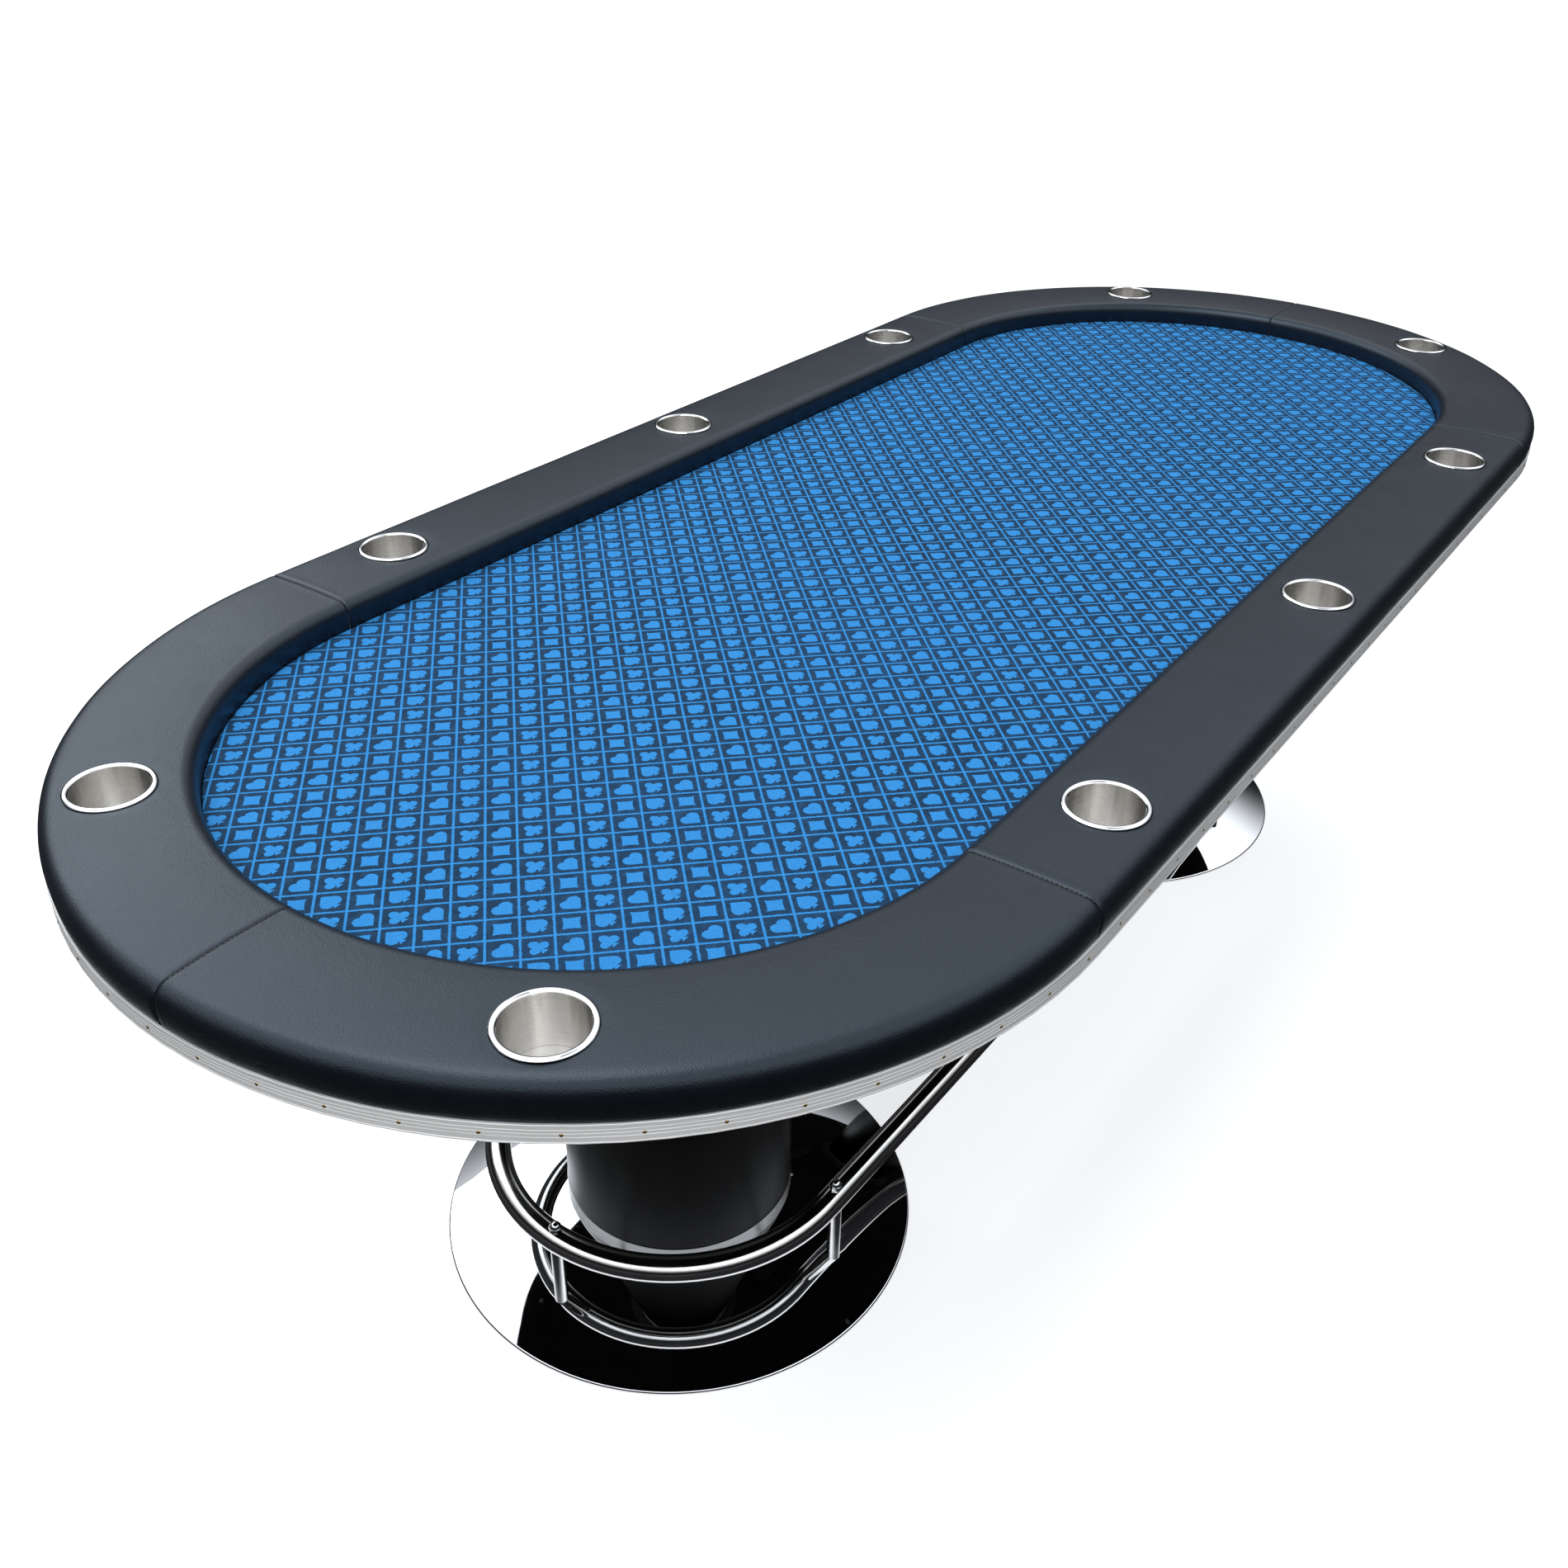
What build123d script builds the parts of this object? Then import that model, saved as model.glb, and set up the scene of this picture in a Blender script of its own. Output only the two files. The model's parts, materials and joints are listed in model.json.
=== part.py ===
"""Oval ten-seat card table: padded rail, drop-in cup holders, two chrome pedestals, foot rail.

Row frame, millimetres: the origin is on the floor under the middle of the table, +X runs
along the table's length, +Y across it and +Z up. The pedestal at the -X end is "a" and the
one at the +X end is "b". The playing field, the rail and the edge trim all follow one
racetrack: two straights joined by half circles about (-ARC_X, 0) and (ARC_X, 0).
"""

import os
from math import asin, cos, pi, radians, sin, sqrt

from build123d import *

# ---------------------------------------------------------------- driving dimensions
TABLE_LENGTH = 2438.4
TABLE_WIDTH = 1066.8
EDGE_R = TABLE_WIDTH / 2
ARC_X = TABLE_LENGTH / 2 - EDGE_R

# top, from the underside up
DECK_BOTTOM = 702.0
DECK_THICKNESS = 18.0
DECK_TOP = DECK_BOTTOM + DECK_THICKNESS
FOAM_THICKNESS = 6.0
CLOTH_THICKNESS = 1.6
RAIL_TOP = 759.5
RAIL_INNER_R = 395.4

# edge trim: a grooved aluminium strip with beaded edges, nailed round the deck's edge
TRIM_THICKNESS = 2.4
TRIM_HEIGHT = 19.0
TRIM_BEAD_R = 1.0
TRIM_FACE_INSET = 0.5
TRIM_GROOVE_HEIGHTS = (7.2, 10.8, 14.2)
TRIM_GROOVE_R = 0.9
TRIM_GROOVE_DEPTH = 0.35
TRIM_PIN_COUNT = 102
TRIM_PIN_START = 13.5
TRIM_PIN_Z = 9.0
TRIM_PIN_HEAD_R = 1.6
TRIM_PIN_HEAD_HEIGHT = 0.8
TRIM_PIN_SHANK_R = 0.9
TRIM_PIN_LENGTH = 14.0

# padded rail
COVER_THICKNESS = 1.2
CORE_THICKNESS = 18.0
CORE_INNER_R = 403.0
CORE_OUTER_R = 525.0
RAIL_FOOT_INNER_R = 396.0
RAIL_FOOT_OUTER_R = 530.6
RAIL_BULGE_R = 532.6
RAIL_CROWN_INSET = 19.0
RAIL_CROWN_DROP = 1.3

# cup holders: one on each end quarter, three on each side
CUP_LINE_R = 468.7
CUP_SIDE_X = 551.7
CUP_END_ANGLE = 34.8
CUP_FLANGE_R = 41.5
CUP_FLANGE_EDGE = 0.5
CUP_FLANGE_RISE = 2.0
CUP_BODY_R = 36.3
CUP_WALL = 0.9
CUP_DEPTH = 58.4
CUP_BASE_RADIUS = 5.0
CUP_HOLE_R = 37.0

# rail fixings, driven up through the deck
RAIL_BOLT_R = 4.0
RAIL_BOLT_LENGTH = 30.0
RAIL_BOLT_HEAD_R = 8.5
RAIL_BOLT_HEAD_HEIGHT = 5.5
RAIL_BOLT_SIDE_X = 276.0
RAIL_BOLT_END_ANGLES = (-66.0, 0.0, 66.0)
INSERT_R = 6.0
INSERT_HEIGHT = 15.0
FIT_GAP = 0.1

# pedestals
PEDESTAL_X = 610.0
COLUMN_R = 140.4
COLUMN_WALL = 2.0
BAND_THICKNESS = 1.0
BAND_TOP = 63.0
UPPER_BAND_HEIGHT = 25.0
BAND_PIN_ANGLES = (-58.0, 122.0)
BAND_PIN_R = 1.6
BASE_R = 293.3
DOME_R = 880.0
DOME_RIM_Z = 3.0
DOME_WALL = 1.1
DOME_RIM_ROLL = 2.4
RIM_BOTTOM_Z = 1.2
PLATE_R = 236.0
PLATE_BOTTOM = 8.0
PLATE_TOP = 18.0
HUB_R = 130.0
HUB_TOP = 34.0
TOP_PLATE_R = 172.0
TOP_PLATE_THICKNESS = 6.0
TOP_PLATE_SCREW_CIRCLE_R = 157.0
TOP_PLATE_SCREWS = 8
DISC_THICKNESS = 12.0
UPPER_DISC_Z = 640.0

# tie rod that clamps base, column and top plate together
ROD_R = 8.0
ROD_HOLE_R = 8.6
ROD_BOTTOM = 8.5
ROD_TOP = 714.0
NUT_ACROSS_FLATS = 24.0
NUT_HEIGHT = 10.0
NUT_POCKET_R = 17.0
DECK_POCKET_R = 20.0
DECK_POCKET_DEPTH = 14.0

# foot rail
FOOT_RAIL_R = 221.7
FOOT_RAIL_Z = 126.0
FOOT_TUBE_R = 15.9
FOOT_TUBE_WALL = 1.5
SLEEVE_LENGTH = 120.0
POST_R = 8.0
POST_STUD_R = 4.0
POST_INBOARD = 22.0
POST_THREAD_BOTTOM = 9.0
CAP_NUT_R = 7.5
CAP_NUT_SKIRT = 3.5

# levelling feet under each base plate
LEVELLER_CIRCLE_R = 212.0
LEVELLER_ANGLES = (60.0, 180.0, 300.0)
PAD_R = 18.0
PAD_HEIGHT = 5.0
PAD_SOCKET_Z = 2.0
STEM_R = 5.0
STEM_NOSE_R = 4.0
STEM_TOP = 22.0
STEM_HEX = 17.0
RUNNING_GAP = 0.05

# stiffening battens under the deck, between the pedestals
BATTEN_LENGTH = 840.0
BATTEN_WIDTH = 45.0
BATTEN_DEPTH = 30.0
BATTEN_Y = 150.0

PEDESTALS = {"a": (-PEDESTAL_X, 1.0), "b": (PEDESTAL_X, -1.0)}


# ---------------------------------------------------------------- helpers
def save(name, shape):
    """Write one node to parts/NAME.step."""
    export_step(shape, f"parts/{name}.step")


def group(solids):
    """Join separate solids in one node."""
    return Compound(children=list(solids))


def rod(x, y, z_low, z_high, radius):
    """Upright cylinder between two heights."""
    return Pos(x, y, (z_low + z_high) / 2) * Cylinder(radius, z_high - z_low)


def hex_prism(x, y, z_low, z_high, across_flats):
    """Upright hexagonal prism, by its distance across flats."""
    outline = RegularPolygon(across_flats / sqrt(3), 6)
    return Pos(x, y, z_low) * extrude(outline, amount=z_high - z_low)


def radial_plane(centre_x, angle):
    """Plane through an upright axis: local x points outward, local y points up."""
    a = radians(angle)
    return Plane(origin=(centre_x, 0, 0), x_dir=(cos(a), sin(a), 0), z_dir=(sin(a), -cos(a), 0))


def arc_sweep(section, centre_x, start, sweep):
    """Turn a radial section about an upright axis through (centre_x, 0)."""
    face = radial_plane(centre_x, start) * section
    return revolve(face, axis=Axis((centre_x, 0, 0), (0, 0, 1)), revolution_arc=sweep)


def straight_sweep(section, side):
    """Run a radial section along one straight: side +1 is +Y, -1 is -Y."""
    start_x = ARC_X * side
    face = radial_plane(start_x, 90 * side) * section
    return extrude(face, amount=2 * ARC_X, dir=(-side, 0, 0))


def racetrack_ring(section):
    """Carry a radial section all the way round the racetrack."""
    ring = arc_sweep(section, ARC_X, -90, 180) + arc_sweep(section, -ARC_X, 90, 180)
    return ring + straight_sweep(section, 1) + straight_sweep(section, -1)


def racetrack_slab(radius, z_low, z_high):
    """Flat slab with the racetrack's outline."""
    outline = SlotCenterToCenter(2 * ARC_X, 2 * radius)
    return Pos(0, 0, z_low) * extrude(outline, amount=z_high - z_low)


def racetrack_point(distance, radius):
    """Point and outward angle at a distance along the edge, from the middle of the +Y side."""
    arc = pi * EDGE_R
    lap = 2 * (2 * ARC_X + arc)
    s = distance % lap
    if s < ARC_X:
        return -s, radius, 90.0
    s -= ARC_X
    if s < arc:
        angle = 90 + 180 * s / arc
        return -ARC_X + radius * cos(radians(angle)), radius * sin(radians(angle)), angle
    s -= arc
    if s < 2 * ARC_X:
        return -ARC_X + s, -radius, 270.0
    s -= 2 * ARC_X
    if s < arc:
        angle = 270 + 180 * s / arc
        return ARC_X + radius * cos(radians(angle)), radius * sin(radians(angle)), angle
    return ARC_X - (s - arc), radius, 90.0


def end_point(end, angle, radius):
    """Point on an end arc: end -1 or +1, angle measured from the long axis."""
    a = radians(angle)
    return end * (ARC_X + radius * cos(a)), radius * sin(a)


def dome_z(r):
    """Height of the chrome dome's outside, at a distance from the pedestal's axis."""
    return DOME_RIM_Z + sqrt(DOME_R**2 - r**2) - sqrt(DOME_R**2 - BASE_R**2)


# ---------------------------------------------------------------- shared places
def cup_places():
    """The ten cup holders' centres, in order round the table."""
    places = [end_point(-1, CUP_END_ANGLE, CUP_LINE_R), end_point(-1, -CUP_END_ANGLE, CUP_LINE_R)]
    places += [(x, -CUP_LINE_R) for x in (-CUP_SIDE_X, 0.0, CUP_SIDE_X)]
    places += [end_point(1, -CUP_END_ANGLE, CUP_LINE_R), end_point(1, CUP_END_ANGLE, CUP_LINE_R)]
    places += [(x, CUP_LINE_R) for x in (CUP_SIDE_X, 0.0, -CUP_SIDE_X)]
    return places


def rail_bolt_places():
    """Where the rail is bolted down, between the cup holders."""
    radius = (CORE_INNER_R + CORE_OUTER_R) / 2
    places = [end_point(e, a, radius) for e in (-1, 1) for a in RAIL_BOLT_END_ANGLES]
    places += [(x, y) for x in (-RAIL_BOLT_SIDE_X, RAIL_BOLT_SIDE_X) for y in (-radius, radius)]
    return places


def post_places():
    """Foot rail posts: one on each end's apex, two just inboard of each bend."""
    places = []
    for x, inward in PEDESTALS.values():
        places.append((x - inward * FOOT_RAIL_R, 0.0, x))
        places += [(x + inward * POST_INBOARD, side * FOOT_RAIL_R, x) for side in (-1, 1)]
    return places


def leveller_places(x, inward):
    """Levelling feet of one base, with one foot on its outboard side."""
    return [
        (
            x + inward * LEVELLER_CIRCLE_R * cos(radians(a)),
            LEVELLER_CIRCLE_R * sin(radians(a)),
        )
        for a in LEVELLER_ANGLES
    ]


def top_plate_screw_places(x):
    """Screws round one top plate, clear of the column."""
    step = 360 / TOP_PLATE_SCREWS
    angles = [radians(step * (k + 0.5)) for k in range(TOP_PLATE_SCREWS)]
    r = TOP_PLATE_SCREW_CIRCLE_R
    return [(x + r * cos(a), r * sin(a)) for a in angles]


def cut_holes(solid, places, radius, z_low, z_high):
    """Drill upright round holes."""
    return solid - [rod(x, y, z_low, z_high, radius) for x, y in places]


# ---------------------------------------------------------------- table top
def rail_outline(inset):
    """Section of the padded rail, shrunk inward by inset on every side but the bottom."""
    foot_in = RAIL_FOOT_INNER_R + inset
    foot_out = RAIL_FOOT_OUTER_R - inset
    bulge_in = RAIL_INNER_R + inset
    bulge_out = RAIL_BULGE_R - inset
    top = RAIL_TOP - inset
    shoulder = top - RAIL_CROWN_DROP
    waist = DECK_TOP + 0.5 * (RAIL_TOP - DECK_TOP)
    with BuildSketch() as section:
        with BuildLine():
            Line((foot_in, DECK_TOP), (foot_out, DECK_TOP))
            Line((foot_out, DECK_TOP), (bulge_out, waist))
            Spline(
                (bulge_out, waist),
                (bulge_out - RAIL_CROWN_INSET, shoulder),
                tangents=((0, 1), (-1, 0.12)),
            )
            ThreePointArc(
                (bulge_out - RAIL_CROWN_INSET, shoulder),
                ((bulge_in + bulge_out) / 2, top),
                (bulge_in + RAIL_CROWN_INSET, shoulder),
            )
            Spline(
                (bulge_in + RAIL_CROWN_INSET, shoulder),
                (bulge_in, waist),
                tangents=((-1, -0.12), (0, -1)),
            )
            Line((bulge_in, waist), (foot_in, DECK_TOP))
        make_face()
    return section.sketch


def core_outline():
    """Section of the plywood ring inside the rail."""
    width = CORE_OUTER_R - CORE_INNER_R
    middle = ((CORE_INNER_R + CORE_OUTER_R) / 2, DECK_TOP + CORE_THICKNESS / 2)
    return Pos(*middle) * Rectangle(width, CORE_THICKNESS)


def build_rail():
    """Plywood core, foam, and the vinyl cover in its six sewn panels."""
    cups = cup_places()
    hole = {"radius": CUP_HOLE_R, "z_low": DECK_TOP - 1, "z_high": RAIL_TOP + 5}
    core = cut_holes(racetrack_ring(core_outline()), cups, **hole)
    insert_top = DECK_TOP + INSERT_HEIGHT
    core = cut_holes(core, rail_bolt_places(), INSERT_R + FIT_GAP, DECK_TOP - 1, insert_top + 1)
    save("rail_core", core)

    foam_section = rail_outline(COVER_THICKNESS) - core_outline()
    save("rail_foam", cut_holes(racetrack_ring(foam_section), cups, **hole))

    cover_section = rail_outline(0) - rail_outline(COVER_THICKNESS)
    panels = {
        "rail_cover_end_a_left": arc_sweep(cover_section, -ARC_X, 90, 90),
        "rail_cover_end_a_right": arc_sweep(cover_section, -ARC_X, 180, 90),
        "rail_cover_end_b_right": arc_sweep(cover_section, ARC_X, -90, 90),
        "rail_cover_end_b_left": arc_sweep(cover_section, ARC_X, 0, 90),
        "rail_cover_side_left": straight_sweep(cover_section, 1),
        "rail_cover_side_right": straight_sweep(cover_section, -1),
    }
    for name, panel in panels.items():
        save(name, cut_holes(panel, cups, **hole))


def build_rail_fixings():
    """Bolts up through the deck into threaded inserts in the rail core."""
    bolts = []
    inserts = []
    for x, y in rail_bolt_places():
        shank = rod(x, y, DECK_BOTTOM, DECK_BOTTOM + RAIL_BOLT_LENGTH, RAIL_BOLT_R)
        head = rod(x, y, DECK_BOTTOM - RAIL_BOLT_HEAD_HEIGHT, DECK_BOTTOM, RAIL_BOLT_HEAD_R)
        head = chamfer(head.edges().group_by(Axis.Z)[0], 1.5)
        socket = hex_prism(x, y, DECK_BOTTOM - RAIL_BOLT_HEAD_HEIGHT, DECK_BOTTOM - 2, 6.0)
        bolts.append(shank + head - socket)
        body = rod(x, y, DECK_TOP, DECK_TOP + INSERT_HEIGHT, INSERT_R)
        inserts.append(body - rod(x, y, DECK_TOP, RAIL_TOP, RAIL_BOLT_R + FIT_GAP))
    save("rail_bolts", group(bolts))
    save("rail_inserts", group(inserts))


def build_playing_field():
    """Plywood deck with its holes, the foam underlay and the cloth."""
    deck = racetrack_slab(EDGE_R - TRIM_THICKNESS, DECK_BOTTOM, DECK_TOP)
    through = {"z_low": DECK_BOTTOM - 1, "z_high": DECK_TOP + 1}
    deck = cut_holes(deck, cup_places(), CUP_HOLE_R, **through)
    deck = cut_holes(deck, rail_bolt_places(), RAIL_BOLT_R + FIT_GAP, **through)
    pockets = [(x, 0.0) for x, _ in PEDESTALS.values()]
    deck = cut_holes(deck, pockets, DECK_POCKET_R, DECK_BOTTOM - 1, DECK_BOTTOM + DECK_POCKET_DEPTH)
    save("deck_board", deck)

    field_r = RAIL_FOOT_INNER_R - 0.9
    foam_top = DECK_TOP + FOAM_THICKNESS
    save("playing_foam", racetrack_slab(field_r, DECK_TOP, foam_top))
    save("playing_cloth", racetrack_slab(field_r, foam_top, foam_top + CLOTH_THICKNESS))

    batten = Box(BATTEN_LENGTH, BATTEN_WIDTH, BATTEN_DEPTH)
    batten = chamfer(batten.edges().group_by(Axis.Z)[0], 3)
    z = DECK_BOTTOM - BATTEN_DEPTH / 2
    save("deck_battens", group(Pos(0, side * BATTEN_Y, z) * batten for side in (-1, 1)))


def build_trim():
    """Grooved aluminium edge trim, and the round-headed brass pins that hold it."""
    inner = EDGE_R - TRIM_THICKNESS
    face = EDGE_R - TRIM_FACE_INSET
    middle = DECK_BOTTOM + TRIM_HEIGHT / 2
    outline = Pos((inner + face) / 2, middle) * Rectangle(face - inner, TRIM_HEIGHT)
    for z in (DECK_BOTTOM + TRIM_BEAD_R, DECK_BOTTOM + TRIM_HEIGHT - TRIM_BEAD_R):
        outline += Pos(EDGE_R - TRIM_BEAD_R, z) * Circle(TRIM_BEAD_R)
    for height in TRIM_GROOVE_HEIGHTS:
        centre = (face + TRIM_GROOVE_R - TRIM_GROOVE_DEPTH, DECK_BOTTOM + height)
        outline -= Pos(*centre) * Circle(TRIM_GROOVE_R)
    save("edge_trim", racetrack_ring(outline))

    head_r = (TRIM_PIN_HEAD_R**2 + TRIM_PIN_HEAD_HEIGHT**2) / (2 * TRIM_PIN_HEAD_HEIGHT)
    cap = Pos(0, 0, TRIM_PIN_HEAD_HEIGHT - head_r) * Sphere(head_r)
    cap = cap & Pos(0, 0, head_r) * Box(4 * head_r, 4 * head_r, 2 * head_r)
    pin = cap + Pos(0, 0, -TRIM_PIN_LENGTH / 2) * Cylinder(TRIM_PIN_SHANK_R, TRIM_PIN_LENGTH)
    seat_r = EDGE_R - TRIM_FACE_INSET
    spacing = 2 * (2 * ARC_X + pi * EDGE_R) / TRIM_PIN_COUNT
    z = DECK_BOTTOM + TRIM_PIN_Z
    pins = []
    for k in range(TRIM_PIN_COUNT):
        x, y, angle = racetrack_point(TRIM_PIN_START + k * spacing, seat_r)
        outward = (cos(radians(angle)), sin(radians(angle)), 0)
        pins.append(Plane(origin=(x, y, z), z_dir=outward) * pin)
    save("trim_pins", group(pins))


def build_cups():
    """Drawn stainless cups with a domed flange, loose in the rail."""
    floor = RAIL_TOP - CUP_DEPTH
    inner = CUP_BODY_R - CUP_WALL
    edge = RAIL_TOP + CUP_FLANGE_EDGE
    crown = ((inner + CUP_FLANGE_R) / 2, RAIL_TOP + CUP_FLANGE_RISE)
    with BuildSketch(Plane.XZ) as section:
        with BuildLine():
            Polyline(
                (inner, edge),
                (inner, floor),
                (0, floor),
                (0, floor - CUP_WALL),
                (CUP_BODY_R, floor - CUP_WALL),
                (CUP_BODY_R, RAIL_TOP),
                (CUP_FLANGE_R, RAIL_TOP),
                (CUP_FLANGE_R, edge),
            )
            ThreePointArc((CUP_FLANGE_R, edge), crown, (inner, edge))
        make_face()
        corners = section.vertices().filter_by(lambda v: abs(v.Z - floor) < 1 and v.X > 1)
        inner_corner = corners.filter_by(lambda v: v.X < CUP_BODY_R - CUP_WALL / 2)
        outer_corner = corners.filter_by(lambda v: v.X > CUP_BODY_R - CUP_WALL / 2)
        fillet(inner_corner, CUP_BASE_RADIUS - CUP_WALL)
        fillet(outer_corner, CUP_BASE_RADIUS)
    cup = revolve(section.sketch, axis=Axis.Z)
    for number, (x, y) in enumerate(cup_places(), start=1):
        save(f"cup_holder_{number:02d}", Pos(x, y, 0) * cup)


# ---------------------------------------------------------------- pedestals
def dome_section(drop, rim_roll=0):
    """Closed section under the dome's outside, lowered by drop, from the axis to the rim."""
    rim_r = BASE_R - drop
    low = RIM_BOTTOM_Z
    radius = DOME_R - drop
    top = dome_z(0) - drop
    centre_z = top - radius
    rim_z = centre_z + sqrt(radius**2 - rim_r**2)
    half = asin(rim_r / radius) / 2
    middle = (radius * sin(half), centre_z + radius * cos(half))
    with BuildSketch(Plane.XZ) as section:
        with BuildLine():
            Line((0, low), (rim_r, low))
            Line((rim_r, low), (rim_r, rim_z))
            ThreePointArc((rim_r, rim_z), middle, (0, top))
            Line((0, top), (0, low))
        make_face()
        if rim_roll:
            rim = section.vertices().sort_by(Axis.X)[-2:].sort_by(Axis.Z)[-1]
            fillet(rim, rim_roll)
    return section.sketch


def build_base(tag, x, posts, levellers):
    """Chrome dome over a cast weight plate that holds the posts and the levelling feet."""
    outside = revolve(dome_section(0, DOME_RIM_ROLL), axis=Axis.Z)
    inside = revolve(dome_section(DOME_WALL), axis=Axis.Z)
    cover = Pos(x, 0, 0) * (outside - inside)
    cover = cover - rod(x, 0, RIM_BOTTOM_Z, dome_z(0) + 5, ROD_HOLE_R)
    cover = cut_holes(cover, posts, POST_STUD_R + FIT_GAP, RIM_BOTTOM_Z, dome_z(0))
    save(f"base_cover_{tag}", cover)

    plate = rod(x, 0, PLATE_BOTTOM, PLATE_TOP, PLATE_R) + rod(x, 0, PLATE_TOP, HUB_TOP, HUB_R)
    plate -= rod(x, 0, 0, HUB_TOP + 1, ROD_HOLE_R)
    plate -= rod(x, 0, 0, ROD_BOTTOM + NUT_HEIGHT, NUT_POCKET_R)
    plate = cut_holes(plate, posts, POST_STUD_R + FIT_GAP, 0, HUB_TOP)
    plate = cut_holes(plate, levellers, STEM_R + RUNNING_GAP, 0, HUB_TOP)
    save(f"base_plate_{tag}", plate)


def build_column(tag, x):
    """Black column tube, its two brushed bands, and the plate under the deck."""
    plate_low = DECK_BOTTOM - TOP_PLATE_THICKNESS
    low = dome_z(COLUMN_R - COLUMN_WALL) + FIT_GAP
    tube = rod(x, 0, low, plate_low, COLUMN_R)
    tube -= rod(x, 0, low, plate_low, COLUMN_R - COLUMN_WALL)
    save(f"column_shell_{tag}", tube)

    bands = {
        f"column_base_band_{tag}": (low, BAND_TOP),
        f"column_top_band_{tag}": (plate_low - UPPER_BAND_HEIGHT, plate_low),
    }
    for name, (z_low, z_high) in bands.items():
        band = rod(x, 0, z_low, z_high, COLUMN_R + BAND_THICKNESS)
        save(name, band - rod(x, 0, z_low, z_high, COLUMN_R))

    plate = rod(x, 0, plate_low, DECK_BOTTOM, TOP_PLATE_R)
    plate -= rod(x, 0, plate_low, DECK_BOTTOM, ROD_HOLE_R)
    plate = cut_holes(plate, top_plate_screw_places(x), 3.0, plate_low - 1, DECK_BOTTOM + 1)
    save(f"column_top_plate_{tag}", plate)


def build_pedestal_internals():
    """Tie rods, their nuts, the discs that centre the tubes, and the small fasteners."""
    rods = []
    nuts = []
    discs = []
    screws = []
    pins = []
    for x, _ in PEDESTALS.values():
        tie = rod(x, 0, ROD_BOTTOM, ROD_TOP, ROD_R)
        rods.append(chamfer(tie.edges().filter_by(GeomType.CIRCLE), 1.0))
        for z in (ROD_BOTTOM, DECK_BOTTOM):
            nut = hex_prism(x, 0, z, z + NUT_HEIGHT, NUT_ACROSS_FLATS)
            nuts.append(nut - rod(x, 0, z, z + NUT_HEIGHT, ROD_R + FIT_GAP))
        disc_r = COLUMN_R - COLUMN_WALL - FIT_GAP
        for z in (dome_z(0) + FIT_GAP, UPPER_DISC_Z):
            disc = rod(x, 0, z, z + DISC_THICKNESS, disc_r)
            discs.append(disc - rod(x, 0, z, z + DISC_THICKNESS, ROD_HOLE_R))
        plate_low = DECK_BOTTOM - TOP_PLATE_THICKNESS
        for sx, sy in top_plate_screw_places(x):
            head = rod(sx, sy, plate_low - 2.5, plate_low, 5.0)
            head = fillet(head.edges().group_by(Axis.Z)[0], 1.8)
            screws.append(head + rod(sx, sy, plate_low, DECK_TOP - 4, 2.4))
        band_mid = (dome_z(COLUMN_R) + BAND_TOP) / 2
        for angle in BAND_PIN_ANGLES:
            a = radians(angle)
            outward = (cos(a), sin(a), 0)
            r = COLUMN_R + BAND_THICKNESS
            seat = Plane(origin=(x + r * cos(a), r * sin(a), band_mid), z_dir=outward)
            pins.append(seat * (Cylinder(BAND_PIN_R, 5.0) + Pos(0, 0, 0.3) * Cylinder(2.4, 0.8)))
    save("tie_rods", group(rods))
    save("tie_rod_nuts", group(nuts))
    save("column_discs", group(discs))
    save("plate_screws", group(screws))
    save("band_pins", group(pins))


def build_levellers(tag, places):
    """Swivel pads on threaded stems that screw into the base plate."""
    for number, (x, y) in enumerate(places, start=1):
        pad = rod(x, y, 0, PAD_HEIGHT, PAD_R)
        pad = chamfer(pad.edges().group_by(Axis.Z)[-1], 1.5)
        pad -= rod(x, y, PAD_SOCKET_Z, PAD_HEIGHT + 1, STEM_NOSE_R + RUNNING_GAP)
        save(f"leveller_pad_{tag}{number}", pad)

        stem = rod(x, y, PAD_SOCKET_Z + RUNNING_GAP, STEM_TOP, STEM_NOSE_R)
        stem += rod(x, y, PAD_HEIGHT + FIT_GAP, STEM_TOP, STEM_R)
        stem += hex_prism(x, y, PAD_HEIGHT + FIT_GAP, PLATE_BOTTOM - FIT_GAP, STEM_HEX)
        save(f"leveller_stem_{tag}{number}", stem)


# ---------------------------------------------------------------- foot rail
def foot_rail_half(x, inward, radius):
    """One bend and its two half straights, as a solid bar of the given radius."""
    reach = abs(x)
    bend = arc_sweep(Pos(FOOT_RAIL_R, FOOT_RAIL_Z) * Circle(radius), x, 90 if inward > 0 else -90, 180)
    legs = [
        Pos(x + inward * reach / 2, side * FOOT_RAIL_R, FOOT_RAIL_Z)
        * Rot(0, 90, 0)
        * Cylinder(radius, reach)
        for side in (-1, 1)
    ]
    return bend + legs


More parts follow.
